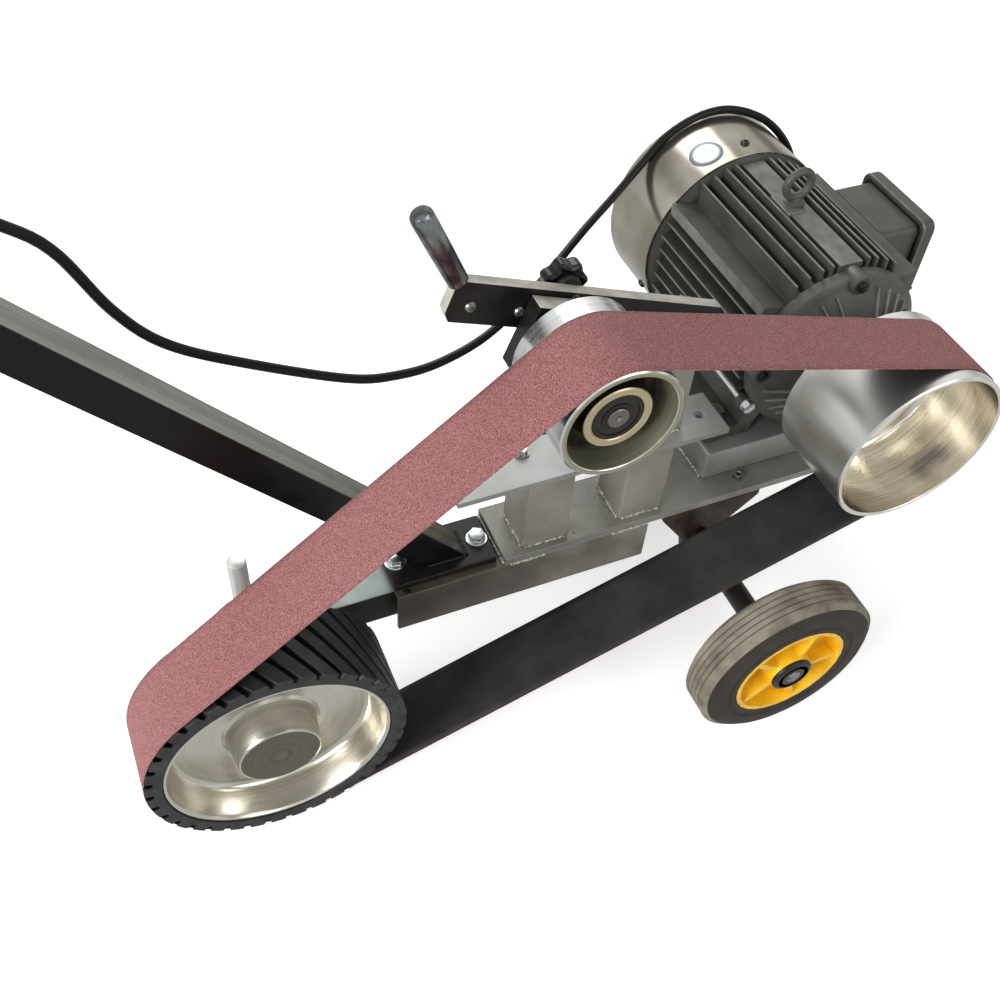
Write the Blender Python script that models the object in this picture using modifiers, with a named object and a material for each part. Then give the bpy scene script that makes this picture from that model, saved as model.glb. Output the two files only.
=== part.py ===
"""Wheeled belt grinder: a sanding belt over a rubber contact drum, a tension wheel and a motor drum.

Layout: X runs from the contact wheel (-X) to the motor drum (+X), Y is the direction of every wheel
axle with the motor at the rear (+Y), Z is up. All sizes are laid out from the contact wheel's axis and
its front face; at the end the whole machine is moved so that the floor is Z = 0 under its middle.
"""
import bmesh
import bpy
from math import acos, atan2, cos, hypot, pi, radians, sin, sqrt, tan
from mathutils import Matrix, Vector

MM = 0.001
GAP = 0.3 * MM                    # clearance between neighbouring pieces

# Sanding belt and the three wheels it runs over
BELT_WIDTH = 75 * MM
BELT_THICK = 1.0 * MM
BELT_FRONT = 3 * MM               # belt edge behind the contact wheel's front face
CONTACT_RADIUS = 125 * MM
CONTACT_WIDTH = 80 * MM
CONTACT_RUBBER = 16 * MM
CONTACT_DISH_DEPTH = 36 * MM
TYRE_EASE = 0.5 * MM              # how much wider the tyre's bore is than the wheel
CONTACT_GROOVES = 36
CONTACT_TWIST = radians(26)       # how far a tread groove turns across the tyre
TENSION_RADIUS = 56 * MM
TENSION_WIDTH = 98 * MM
TENSION_FRONT = 2.5 * MM
TENSION_CENTRE = (312 * MM, 332 * MM)
DRIVE_RADIUS = 92.5 * MM
DRIVE_WIDTH = 103 * MM
DRIVE_FRONT = -9.5 * MM
DRIVE_WALL = 5 * MM
DRIVE_CENTRE = (656 * MM, 191.4 * MM)
AXLE_RADIUS = 10 * MM             # contact and tension wheel axles
BEARING_RADIUS = 23.5 * MM
BEARING_WIDTH = 14 * MM

# Motor
MOTOR_HEIGHT = 112 * MM           # axis above the feet
SHOULDER_Y = 115 * MM             # front face of the drive-end shield
HOUSING_START = 45 * MM           # housing behind the shoulder
HOUSING_LENGTH = 190 * MM
HOUSING_RADIUS = 90 * MM          # shell between the fins
HOUSING_WALL = 6 * MM             # shell outside the stator
FIN_HEIGHT = 18 * MM              # fin tips above the shell
SIDE_FIN_HEIGHT = 11 * MM         # the side fins end in an upright line this far out
FIN_THICK = 3 * MM
TOP_FINS = (14, 21.5, 31.5, 42)   # degrees from straight up
SIDE_FINS = (32, 20, 9, -2, -13, -24.5, -37)   # degrees above level
STRIP_WIDTH = 28 * MM             # flat strip along the top
STRIP_HEIGHT = 14 * MM
LUG_HEIGHT = 29 * MM              # corner of the lug between top fins and side fins
LUG_ANGLES = (37.2, 40)           # degrees above level: its corner and its lower root
FOOT_SPAN = 245 * MM
FOOT_THICK = 14 * MM
FOOT_WIDTH = 55 * MM
SHIELD_STEP = 8 * MM              # shield rim outside the housing's shell
COWL_STEP = 23 * MM               # cowl outside the housing's shell
COWL_LENGTH = 99 * MM
COWL_SHOULDER = 14 * MM
COWL_WALL = 1.8 * MM
SHAFT_RADIUS = 14 * MM
SHAFT_STUB = 60 * MM              # bare shaft in front of the shoulder
MOTOR_BEARING_RADIUS = 31 * MM
MOTOR_BEARING_WIDTH = 16 * MM
STATOR_BORE = 55 * MM
STATOR_LENGTH = 120 * MM
AIR_GAP = 1.0 * MM

# Welded frame
BASE_THICK = 10 * MM
BASE_LEFT = 276 * MM
BASE_RIGHT = 785 * MM
BASE_REAR = 356 * MM
FRAME_FRONT = 114 * MM            # front faces of base plate and channel
CHANNEL_LEFT = 157 * MM
CHANNEL_LENGTH = 291 * MM
CHANNEL_HEIGHT = 55 * MM
CHANNEL_DEPTH = 76 * MM
CHANNEL_WALL = 5 * MM
POST_SIZE = 52 * MM
POST_WALL = 3 * MM
POST_FRONT = 123 * MM
POST_LEFTS = (299 * MM, 413 * MM)
UPPER_LEFT = 222 * MM
UPPER_RIGHT = 528 * MM
UPPER_FRONT = 121 * MM
UPPER_DEPTH = 58 * MM
UPPER_THICK = 7 * MM
UPPER_HEIGHT = 103 * MM           # top of the upper plate above the base plate
RAIL_LEFT = 529 * MM
RAIL_LENGTH = 254 * MM
RAIL_DEPTH = 55 * MM
RAIL_WALL = 6 * MM
RAIL_FRONT = 143 * MM

# Contact wheel arm
ARM_DEPTH = 45 * MM
ARM_HEIGHT = 42 * MM
ARM_RIGHT = 300 * MM
ARM_FRONT = 128 * MM
PIN_RADIUS = 9.5 * MM
PIN_HEIGHT = 90 * MM
PIN_X = 9 * MM

# Boom, flange and handlebar
FLANGE_LEFT = 157 * MM
FLANGE_LENGTH = 113 * MM
FLANGE_FRONT = 123 * MM
FLANGE_DEPTH = 61 * MM
FLANGE_THICK = 8 * MM
FLANGE_BOLT_INSET = 11 * MM
BOLT_RADIUS = 5 * MM
BOOM_SIZE = 36 * MM
BOOM_WALL = 2.5 * MM
BOOM_ANGLE = radians(49)
BOOM_LENGTH = 1010 * MM
BOOM_FOOT_X = 217 * MM
BOOM_PAD = (395 * MM, 66 * MM, 24 * MM, 3 * MM)   # place along the boom, length, width, thickness
BAR_RADIUS = 16 * MM
BAR_WALL = 2 * MM
BAR_LENGTH = 520 * MM
GRIP_LENGTH = 125 * MM
GRIP_WALL = 4 * MM
SWITCH_PLACE = 780 * MM           # middle of the switch box along the boom
SWITCH_SIZE = (96 * MM, 62 * MM, 48 * MM)
SWITCH_WALL = 3 * MM
BUTTON_RADIUS = 11 * MM
BUTTON_HEIGHT = 9 * MM
BUTTON_SPACING = 38 * MM
GLAND_RADIUS = 11 * MM
GLAND_LENGTH = 22 * MM

# Tension lever and belt tracking
LEVER_PIVOT = (455 * MM, 300.5 * MM)
LEVER_ANGLE = radians(20.15)      # the lever rises towards the handle
LEVER_REACH = 262 * MM
LEVER_TAIL = 20 * MM
LEVER_HEIGHT = 40 * MM
LEVER_THICK = 12 * MM
LEVER_FRONT = 126 * MM
HANDLE_RADIUS = 10 * MM
HANDLE_LENGTH = 79 * MM
HANDLE_SEAT = 8 * MM              # the lever's end corner is cut off this far for the handle
PIVOT_RADIUS = 6 * MM
LEVER_BRACKET_WIDTH = 46 * MM
LEVER_BRACKET_THICK = 12 * MM
BLOCK_LENGTH = 90 * MM
BLOCK_RISE = 34.5 * MM            # block above and below the tension wheel's axle
BLOCK_DROP = 32 * MM
BLOCK_THICK = 18 * MM
BLOCK_PLAY = 1 * MM               # room between block and lever
KNOB_RADIUS = 22 * MM
KNOB_THICK = 17 * MM
KNOB_LOBES = 7
KNOB_RISE = 14 * MM               # knob screw above the lever's centreline
SCREW_RADIUS = 4 * MM

# Cart
CART_RADIUS = 102 * MM
CART_WIDTH = 50 * MM
CART_RIM_RADIUS = 64 * MM
CART_CENTRE_X = 521 * MM
CART_MIDDLES = (-59 * MM, 386 * MM)
CART_SPOKES = 5
CART_AXLE_RADIUS = 12.5 * MM
CART_STUB_RADIUS = 8 * MM
CART_CAP_RADIUS = 23 * MM
BRACKET_THICK = 8 * MM
BRACKET_FRONTS = (116 * MM, 250 * MM)

TERMINAL_LOW, TERMINAL_HIGH = 160 * MM, 266 * MM
TERMINAL_FRONT, TERMINAL_REAR = 220 * MM, 334 * MM
TERMINAL_DEPTH = 48.7 * MM
TERMINAL_RIM = 8 * MM             # the cover overhangs the box by this much
COVER_THICK = 15.7 * MM
EYE_PLACE = 268 * MM
EYE_RADIUS = 15 * MM
EYE_WIRE = 4.5 * MM

CABLE_RADIUS = 4.6 * MM

# Sides of round pieces; pieces that fit inside one another share a count
LARGE, MIDDLE, SMALL = 40, 28, 20

# Heights and places that follow from the sizes above
FLOOR = -(CONTACT_RADIUS + GAP + BELT_THICK)
RAIL_TOP = DRIVE_CENTRE[1] - MOTOR_HEIGHT
RAIL_HEIGHT = 39 * MM
BASE_TOP = RAIL_TOP - GAP - RAIL_HEIGHT - GAP
BASE_BOTTOM = BASE_TOP - BASE_THICK
CHANNEL_TOP = BASE_BOTTOM - GAP
UPPER_TOP = BASE_TOP + UPPER_HEIGHT
FLANGE_TOP = CHANNEL_TOP + GAP + FLANGE_THICK
ARM_TOP = CHANNEL_TOP - CHANNEL_WALL - GAP
STATOR_RADIUS = HOUSING_RADIUS - HOUSING_WALL
SHIELD_RADIUS = HOUSING_RADIUS + SHIELD_STEP
COWL_RADIUS = HOUSING_RADIUS + COWL_STEP
HOUSING_FRONT = SHOULDER_Y + HOUSING_START
HOUSING_REAR = HOUSING_FRONT + HOUSING_LENGTH
COWL_FRONT = HOUSING_REAR + 3 * MM
COWL_REAR = COWL_FRONT + COWL_LENGTH
CART_CENTRE_Z = FLOOR + CART_RADIUS
RAIL_FRONTS = (RAIL_FRONT, COWL_FRONT - 1 * MM - RAIL_DEPTH)   # the rear rail ends just before the cowl
LEVER_MIDDLE = LEVER_FRONT + LEVER_THICK / 2

STEEL_GREY = ((0.50, 0.51, 0.51, 1), 0.45, 0.35)
BRIGHT = ((0.80, 0.79, 0.76, 1), 0.22, 1.0)
BLACK_PAINT = ((0.03, 0.03, 0.035, 1), 0.42, 0.0)
MOTOR_PAINT = ((0.12, 0.12, 0.10, 1), 0.40, 0.1)
COWL_PAINT = ((0.28, 0.25, 0.22, 1), 0.30, 0.2)
RUBBER = ((0.02, 0.02, 0.02, 1), 0.75, 0.0)
TYRE = ((0.20, 0.18, 0.16, 1), 0.80, 0.0)
GRIT = ((0.32, 0.12, 0.10, 1), 0.90, 0.0)
ZINC = ((0.75, 0.76, 0.76, 1), 0.30, 1.0)
YELLOW = ((0.95, 0.62, 0.02, 1), 0.35, 0.0)
COPPER = ((0.45, 0.22, 0.12, 1), 0.50, 0.6)
GREEN = ((0.05, 0.35, 0.10, 1), 0.40, 0.0)
RED = ((0.60, 0.03, 0.03, 1), 0.40, 0.0)


def start():
    """Empty the scene and make the collections for the machine and its cutters."""
    for old in list(bpy.data.objects):
        bpy.data.objects.remove(old, do_unlink=True)
    made = []
    for name in ("drum_sander", "cutters"):
        group = bpy.data.collections.new(name)
        bpy.context.scene.collection.children.link(group)
        made.append(group)
    return made


MACHINE, CUTTERS = start()


def finish(obj, look):
    """Give an object its own Principled material."""
    colour, roughness, metallic = look
    material = bpy.data.materials.new(obj.name + "_finish")
    material.use_nodes = True
    shader = material.node_tree.nodes["Principled BSDF"]
    shader.inputs["Base Color"].default_value = colour
    shader.inputs["Roughness"].default_value = roughness
    shader.inputs["Metallic"].default_value = metallic
    material.diffuse_color = colour
    obj.data.materials.clear()
    obj.data.materials.append(material)


def place(obj, name, look):
    """Name a new object, move it into the machine's collection, or the cutters' when it has no look."""
    obj.name = name
    obj.data.name = name
    for group in list(obj.users_collection):
        group.objects.unlink(obj)
    (MACHINE if look else CUTTERS).objects.link(obj)
    if look:
        finish(obj, look)
    else:
        obj.hide_render = True
        obj.display_type = "WIRE"
    return obj


def from_bmesh(bm, name, look, location=(0, 0, 0)):
    mesh = bpy.data.meshes.new(name)
    bm.to_mesh(mesh)
    bm.free()
    obj = bpy.data.objects.new(name, mesh)
    obj.location = location
    bpy.context.scene.collection.objects.link(obj)
    return place(obj, name, look)


def block(name, low, high, look=None):
    """Box between two corners, with its origin at its middle."""
    size = [b - a for a, b in zip(low, high)]
    middle = [(a + b) / 2 for a, b in zip(low, high)]
    bm = bmesh.new()
    bmesh.ops.create_cube(bm, size=1)
    bmesh.ops.scale(bm, vec=size, verts=bm.verts)
    return from_bmesh(bm, name, look, middle)


def rod(name, start, end, radius, look=None, sides=SMALL):
    """Solid round bar between two points, with its origin at the first."""
    start, end = Vector(start), Vector(end)
    run = end - start
    bm = bmesh.new()
    bmesh.ops.create_cone(bm, cap_ends=True, segments=sides, radius1=radius, radius2=radius, depth=run.length)
    bmesh.ops.translate(bm, vec=(0, 0, run.length / 2), verts=bm.verts)
    bmesh.ops.rotate(bm, matrix=run.to_track_quat("Z", "Y").to_matrix(), verts=bm.verts)
    obj = from_bmesh(bm, name, look, start)
    smooth(obj)
    return obj


def smooth(obj, angle=radians(35)):
    obj.data.shade_smooth()
    obj.data.set_sharp_from_angle(angle=angle)


def turned(name, profile, centre, look=None, steps=MIDDLE):
    """Turn a profile of (radius, y) points about the Y axis through centre = (x, y, z).

    The profile runs down its outer side, from the rear to the front.
    """
    mesh = bpy.data.meshes.new(name)
    closed = min(r for r, _ in profile) > 0
    edges = [(i, i + 1) for i in range(len(profile) - 1)]
    if closed:
        edges.append((len(profile) - 1, 0))
    mesh.from_pydata([(r, 0, y) for r, y in profile], edges, [])
    obj = bpy.data.objects.new(name, mesh)
    bpy.context.scene.collection.objects.link(obj)
    obj.location = centre
    obj.rotation_euler = (-pi / 2, 0, 0)
    place(obj, name, look)
    screw = obj.modifiers.new("turn", "SCREW")
    screw.axis = "Z"
    screw.steps = screw.render_steps = steps
    screw.use_merge_vertices = True
    screw.merge_threshold = 0.00001
    screw.use_smooth_shade = True
    return obj


def ring(name, inner, outer, front, rear, centre, look=None, steps=MIDDLE):
    """Plain round sleeve from y = front to y = rear around the axis through centre = (x, z)."""
    profile = [(inner, rear), (outer, rear), (outer, front), (inner, front)]
    return turned(name, profile, (centre[0], 0, centre[1]), look, steps)


def outline(name, loops, front, rear, look=None, origin=(0, 0)):
    """Flat piece in the XZ plane, from y = front to y = rear; further loops are holes."""
    curve = bpy.data.curves.new(name, "CURVE")
    curve.dimensions = "2D"
    curve.fill_mode = "BOTH"
    curve.extrude = (rear - front) / 2
    for loop in loops:
        spline = curve.splines.new("POLY")
        spline.points.add(len(loop) - 1)
        for point, (x, z) in zip(spline.points, loop):
            point.co = (x - origin[0], z - origin[1], 0, 1)
        spline.use_cyclic_u = True
    flat = bpy.data.objects.new(name, curve)
    flat.location = (origin[0], (front + rear) / 2, origin[1])
    flat.rotation_euler = (pi / 2, 0, 0)
    return to_mesh(flat, name, look)


def to_mesh(curve_object, name, look):
    """Turn a curve object into a closed mesh that keeps its place."""
    bpy.context.scene.collection.objects.link(curve_object)
    bpy.context.view_layer.update()
    seen = curve_object.evaluated_get(bpy.context.evaluated_depsgraph_get())
    mesh = bpy.data.meshes.new_from_object(seen)
    bm = bmesh.new()
    bm.from_mesh(mesh)
    bmesh.ops.remove_doubles(bm, verts=bm.verts, dist=0.00001)
    bmesh.ops.recalc_face_normals(bm, faces=bm.faces)
    bm.to_mesh(mesh)
    bm.free()
    obj = bpy.data.objects.new(name, mesh)
    obj.matrix_world = curve_object.matrix_world
    bpy.context.scene.collection.objects.link(obj)
    bpy.data.objects.remove(curve_object, do_unlink=True)
    return place(obj, name, look)


def bent_rod(name, points, radius, look=None, resolution=2):
    """Round rod along a list of points."""
    curve = bpy.data.curves.new(name, "CURVE")
    curve.dimensions = "3D"
    curve.bevel_depth = radius
    curve.bevel_resolution = resolution
    curve.use_fill_caps = True
    spline = curve.splines.new("POLY")
    spline.points.add(len(points) - 1)
    for point, place_ in zip(spline.points, points):
        point.co = (*place_, 1)
    obj = to_mesh(bpy.data.objects.new(name, curve), name, look)
    smooth(obj)
    return obj


def combine(obj, other, operation="DIFFERENCE"):
    """Cut or join with another object, which stays as a hidden guide."""
    boolean = obj.modifiers.new(other.name, "BOOLEAN")
    boolean.operation = operation
    boolean.solver = "EXACT"
    boolean.object = other
    return obj


def drill(obj, start, end, radius, sides=SMALL):
    cutter = rod(obj.name + "_drill%d" % len(obj.modifiers), start, end, radius, None, sides)
    return combine(obj, cutter)


def join(obj, other):
    return combine(obj, other, "UNION")


def circle(centre, radius, count, first=0.0):
    """Points on a circle in the XZ plane."""
    return arc(centre, radius, first, first + 2 * pi, count)[:-1]


def arc(centre, radius, begin, end, count):
    """Points from angle begin to angle end, both included."""
    return [(centre[0] + radius * cos(begin + (end - begin) * i / count),
             centre[1] + radius * sin(begin + (end - begin) * i / count)) for i in range(count + 1)]


def hang(obj, parent):
    """Parent an object without moving it."""
    bpy.context.view_layer.update()
    obj.parent = parent
    obj.matrix_parent_inverse = parent.matrix_world.inverted()


def axis_empty(name, place_):
    """Empty on a joint's axis, for the pieces that turn about it."""
    empty = bpy.data.objects.new(name, None)
    empty.location = place_
    empty.empty_display_size = 30 * MM
    MACHINE.objects.link(empty)
    return empty


def belt_loop(offset, counts=(22, 20, 24)):
    """Closed loop of points around the three wheels, the given distance off their faces."""
    wheels = [((0, 0), CONTACT_RADIUS), (TENSION_CENTRE, TENSION_RADIUS), (DRIVE_CENTRE, DRIVE_RADIUS)]
    normals = []
    for i in range(3):
        (ax, az), ar = wheels[i]
        (bx, bz), br = wheels[(i + 1) % 3]
        along = atan2(bz - az, bx - ax)
        normals.append(along + acos((ar - br) / hypot(bx - ax, bz - az)))
    points = []
    for i, count in enumerate(counts):
        begin, end = normals[i - 1], normals[i]
        while end > begin:
            end -= 2 * pi
        points += arc(wheels[i][0], wheels[i][1] + offset, begin, end, count)
    return points


def sanding_belt():
    """Endless belt: one strip with the three wheels inside it."""
    loops = [belt_loop(GAP + BELT_THICK), belt_loop(GAP)]
    belt = outline("sanding_belt", loops, BELT_FRONT, BELT_FRONT + BELT_WIDTH, GRIT)
    smooth(belt, radians(50))


def contact_tyre():
    """Rubber tyre whose tread grooves run slantwise across its face."""
    depth = 7 * MM
    pitch = 2 * pi / CONTACT_GROOVES
    shares = (0.0, 0.68, 0.72, 0.96)
    radii = (CONTACT_RADIUS, CONTACT_RADIUS, CONTACT_RADIUS - depth, CONTACT_RADIUS - depth)
    rim = [(r * cos((i + s) * pitch), r * sin((i + s) * pitch))
           for i in range(CONTACT_GROOVES) for s, r in zip(shares, radii)]
    bore = circle((0, 0), CONTACT_RADIUS - CONTACT_RUBBER + TYRE_EASE, LARGE)
    slabs = 2
    bm = bmesh.new()
    rings = []
    for level in range(slabs + 1):
        share = level / slabs
        turn = CONTACT_TWIST * share
        y = CONTACT_WIDTH * share
        rings.append([[bm.verts.new((x * cos(turn) - z * sin(turn), y, x * sin(turn) + z * cos(turn)))
                       for x, z in rim], [bm.verts.new((x, y, z)) for x, z in bore]])
    for low, high in zip(rings, rings[1:]):
        for near, far in zip(low, high):
            for i in range(len(near)):
                j = (i + 1) % len(near)
                bm.faces.new((near[i], near[j], far[j], far[i]))
    for level in (rings[0], rings[-1]):
        edges = [bm.edges.get((loop[i], loop[(i + 1) % len(loop)])) for loop in level for i in range(len(loop))]
        bmesh.ops.triangle_fill(bm, edges=edges, use_beauty=True)
    bmesh.ops.recalc_face_normals(bm, faces=bm.faces)
    tyre = from_bmesh(bm, "contact_tyre", RUBBER)
    smooth(tyre, radians(30))


def contact_wheel():
    """Machined dish with a closed hub in front and a bearing bore from the rear."""
    rim = CONTACT_RADIUS - CONTACT_RUBBER
    front, rear = 1.5 * MM, CONTACT_WIDTH - 1 * MM
    web = CONTACT_DISH_DEPTH
    bore = BEARING_RADIUS + GAP
    profile = [(0, 20 * MM), (bore, 20 * MM), (bore, rear), (36 * MM, rear), (38 * MM, web + 9 * MM),
               (rim - 10 * MM, web + 9 * MM), (rim - 5 * MM, rear), (rim, rear), (rim, front),
               (rim - 3 * MM, front), (rim - 5 * MM, front + 4 * MM), (rim - 9 * MM, web - 3 * MM),
               (rim - 13 * MM, web), (46 * MM, web), (43 * MM, web - 3 * MM), (39.5 * MM, front + 2 * MM),
               (38 * MM, front), (0, front)]
    turned("contact_wheel", profile, (0, 0, 0), BRIGHT, LARGE)
    face = 24 * MM
    ring("contact_bearing", AXLE_RADIUS + GAP, BEARING_RADIUS, face, face + 3.5 * BEARING_WIDTH, (0, 0), ZINC)


def contact_support():
    """Arm that slides in the channel, the fixed axle in its round nose and the upright pin on it."""
    middle = ARM_FRONT + ARM_DEPTH / 2
    nose = arc((0, ARM_TOP - ARM_HEIGHT / 2), ARM_HEIGHT / 2, pi / 2, 3 * pi / 2, 10)
    shape = nose + [(ARM_RIGHT, ARM_TOP - ARM_HEIGHT), (ARM_RIGHT, ARM_TOP)]
    outline("contact_arm", [shape, circle((0, 0), AXLE_RADIUS + GAP, SMALL)], ARM_FRONT,
            ARM_FRONT + ARM_DEPTH, BLACK_PAINT)
    collar = 20 * MM
    tail = ARM_FRONT + ARM_DEPTH + 14 * MM
    profile = [(0, tail), (AXLE_RADIUS - 2 * MM, tail), (AXLE_RADIUS, tail - 2 * MM),
               (AXLE_RADIUS, ARM_FRONT - GAP),
               (collar, ARM_FRONT - GAP), (collar, CONTACT_WIDTH + 6 * MM),
               (AXLE_RADIUS, CONTACT_WIDTH + 2 * MM), (AXLE_RADIUS, 22 * MM), (0, 22 * MM)]
    turned("contact_axle", profile, (0, 0, 0), ZINC, SMALL)
    pin = rod("arm_pin", (PIN_X, middle, ARM_TOP + GAP), (PIN_X, middle, ARM_TOP + GAP + PIN_HEIGHT),
              PIN_RADIUS, BRIGHT)
    bevel = pin.modifiers.new("chamfer", "BEVEL")
    bevel.width = 1.5 * MM
    bevel.segments = 1
    bevel.angle_limit = radians(60)


def tension_wheel():
    """Crowned steel drum with a bearing hub in an open recess on both sides."""
    front, rear = TENSION_FRONT, TENSION_FRONT + TENSION_WIDTH
    inner = TENSION_RADIUS - 6 * MM
    hub, hub_front, hub_rear = 31.5 * MM, front + 9 * MM, rear - 9 * MM
    bore = BEARING_RADIUS + GAP
    seat = BEARING_WIDTH + 1 * MM
    web = (front + 30 * MM, rear - 30 * MM)
    profile = [(bore, hub_rear), (hub, hub_rear), (hub, web[1]), (inner - 1 * MM, web[1]), (inner, rear),
               (TENSION_RADIUS - 1 * MM, rear), (TENSION_RADIUS, rear - 1.5 * MM),
               (TENSION_RADIUS, front + 1.5 * MM),
               (TENSION_RADIUS - 1 * MM, front), (inner, front), (inner - 1 * MM, web[0]), (hub, web[0]),
               (hub, hub_front), (bore, hub_front), (bore, hub_front + seat), (bore - 3 * MM, hub_front + seat),
               (bore - 3 * MM, hub_rear - seat), (bore, hub_rear - seat)]
    turned("tension_wheel", profile, (TENSION_CENTRE[0], 0, TENSION_CENTRE[1]), BRIGHT)
    face = hub_front + 1 * MM - GAP
    ring("tension_bearing", AXLE_RADIUS + GAP, BEARING_RADIUS, face, face + BEARING_WIDTH, TENSION_CENTRE, ZINC)


def lever_frame(along, across):
    """Point in the XZ plane measured from the pivot: along the lever to its handle, and across it upwards."""
    c, s = cos(LEVER_ANGLE), sin(LEVER_ANGLE)
    return (LEVER_PIVOT[0] - along * c + across * s, LEVER_PIVOT[1] + along * s + across * c)


def axle_in_lever():
    """The tension axle's place in the lever's own directions."""
    dx, dz = TENSION_CENTRE[0] - LEVER_PIVOT[0], TENSION_CENTRE[1] - LEVER_PIVOT[1]
    c, s = cos(LEVER_ANGLE), sin(LEVER_ANGLE)
    return -dx * c + dz * s, dx * s + dz * c


def tension_lever():
    """Flat bar lever with a round handle standing on the cut corner of its end."""
    half = LEVER_HEIGHT / 2
    corners = [(-LEVER_TAIL, -half), (LEVER_REACH - 6 * MM, -half), (LEVER_REACH, -half + 8 * MM),
               (LEVER_REACH, half - HANDLE_SEAT), (LEVER_REACH - HANDLE_SEAT, half), (-LEVER_TAIL, half)]
    loops = [[lever_frame(a, b) for a, b in corners], circle(LEVER_PIVOT, PIVOT_RADIUS + GAP, SMALL)]
    loops.append(circle(lever_frame(axle_in_lever()[0], KNOB_RISE), SCREW_RADIUS + GAP, 16))
    bar = outline("tension_lever", loops, LEVER_FRONT, LEVER_FRONT + LEVER_THICK, BLACK_PAINT, LEVER_PIVOT)
    seat, step = HANDLE_SEAT / 2, GAP / sqrt(2)
    reach = step + HANDLE_LENGTH / sqrt(2)
    foot = lever_frame(LEVER_REACH - seat + step, half - seat + step)
    tip = lever_frame(LEVER_REACH - seat + reach, half - seat + reach)
    handle = rod("lever_handle", (foot[0], LEVER_MIDDLE, foot[1]), (tip[0], LEVER_MIDDLE, tip[1]),
                 HANDLE_RADIUS, BRIGHT)
    axis = axis_empty("lever_axis", (LEVER_PIVOT[0], LEVER_MIDDLE, LEVER_PIVOT[1]))
    for piece in (bar, handle):
        hang(piece, axis)


def tracking_block():
    """Block that carries the tension wheel's axle; it tilts about its lower rear edge, against the lever."""
    along, across = axle_in_lever()
    rear = LEVER_FRONT - BLOCK_PLAY
    low, high = across - BLOCK_DROP, across + BLOCK_RISE
    left, right = along + BLOCK_LENGTH / 2, along - BLOCK_LENGTH / 2
    corners = [(right, low), (left, low), (left, high), (right, high)]
    loops = [[lever_frame(a, b) for a, b in corners], circle(TENSION_CENTRE, AXLE_RADIUS + GAP, SMALL)]
    body = outline("tracking_block", loops, rear - BLOCK_THICK, rear, BLACK_PAINT, TENSION_CENTRE)
    front = TENSION_FRONT + 8 * MM
    collar = 15 * MM
    gap_front = TENSION_FRONT + TENSION_WIDTH + 1 * MM
    profile = [(0, rear - 1 * MM), (AXLE_RADIUS, rear - 1 * MM), (AXLE_RADIUS, rear - BLOCK_THICK - GAP),
               (collar, rear - BLOCK_THICK - GAP), (collar, gap_front), (AXLE_RADIUS, gap_front - 8 * MM),
               (AXLE_RADIUS, front), (0, front)]
    axle = turned("tension_axle", profile, (TENSION_CENTRE[0], 0, TENSION_CENTRE[1]), ZINC, SMALL)
    hinge = lever_frame(along, low)
    axis = axis_empty("tracking_axis", (hinge[0], rear, hinge[1]))
    for piece in (body, axle):
        hang(piece, axis)


def tracking_knob():
    """Lobed knob behind the lever, with its screw through the lever to the block."""
    centre = lever_frame(axle_in_lever()[0], KNOB_RISE)
    base = LEVER_FRONT + LEVER_THICK + 6 * MM
    count = KNOB_LOBES * 6
    rim = []
    for i in range(count):
        angle = 2 * pi * i / count
        radius = KNOB_RADIUS - 1.6 * MM * (1 - cos(KNOB_LOBES * angle))
        rim.append((centre[0] + radius * cos(angle), centre[1] + radius * sin(angle)))
    knob = outline("tracking_knob", [rim], base, base + KNOB_THICK, BLACK_PAINT, centre)
    neck = rod("knob_neck", (centre[0], LEVER_FRONT + LEVER_THICK + GAP, centre[1]),
               (centre[0], base + 2 * MM, centre[1]), 11 * MM, None)
    stem = rod("knob_stem", (centre[0], LEVER_FRONT - BLOCK_PLAY + GAP, centre[1]),
               (centre[0], base + 1 * MM, centre[1]), SCREW_RADIUS, None, 16)
    join(knob, neck)
    join(knob, stem)


def lever_bracket():
    """Upright plate on the upper plate that holds the lever's pivot bolt."""
    front = LEVER_FRONT + LEVER_THICK + GAP
    half = LEVER_BRACKET_WIDTH / 2
    x, z = LEVER_PIVOT
    shape = [(x - half, UPPER_TOP + GAP), (x + half, UPPER_TOP + GAP), (x + half, z - 10 * MM)]
    shape += arc(LEVER_PIVOT, 13 * MM, radians(-20), radians(200), 10) + [(x - half, z - 10 * MM)]
    outline("lever_bracket", [shape, circle(LEVER_PIVOT, PIVOT_RADIUS + GAP, SMALL)], front,
            front + LEVER_BRACKET_THICK, STEEL_GREY)
    nut = front + LEVER_BRACKET_THICK + GAP
    head = LEVER_FRONT - GAP
    bolt = rod("lever_pivot_bolt", (x, head - 2 * MM, z), (x, nut + 8 * MM, z), PIVOT_RADIUS, ZINC)
    join(bolt, rod("pivot_head", (x, head - 7 * MM, z), (x, head, z), 10 * MM, None, 6))
    join(bolt, rod("pivot_nut", (x, nut, z), (x, nut + 7 * MM, z), 10 * MM, None, 6))


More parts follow.
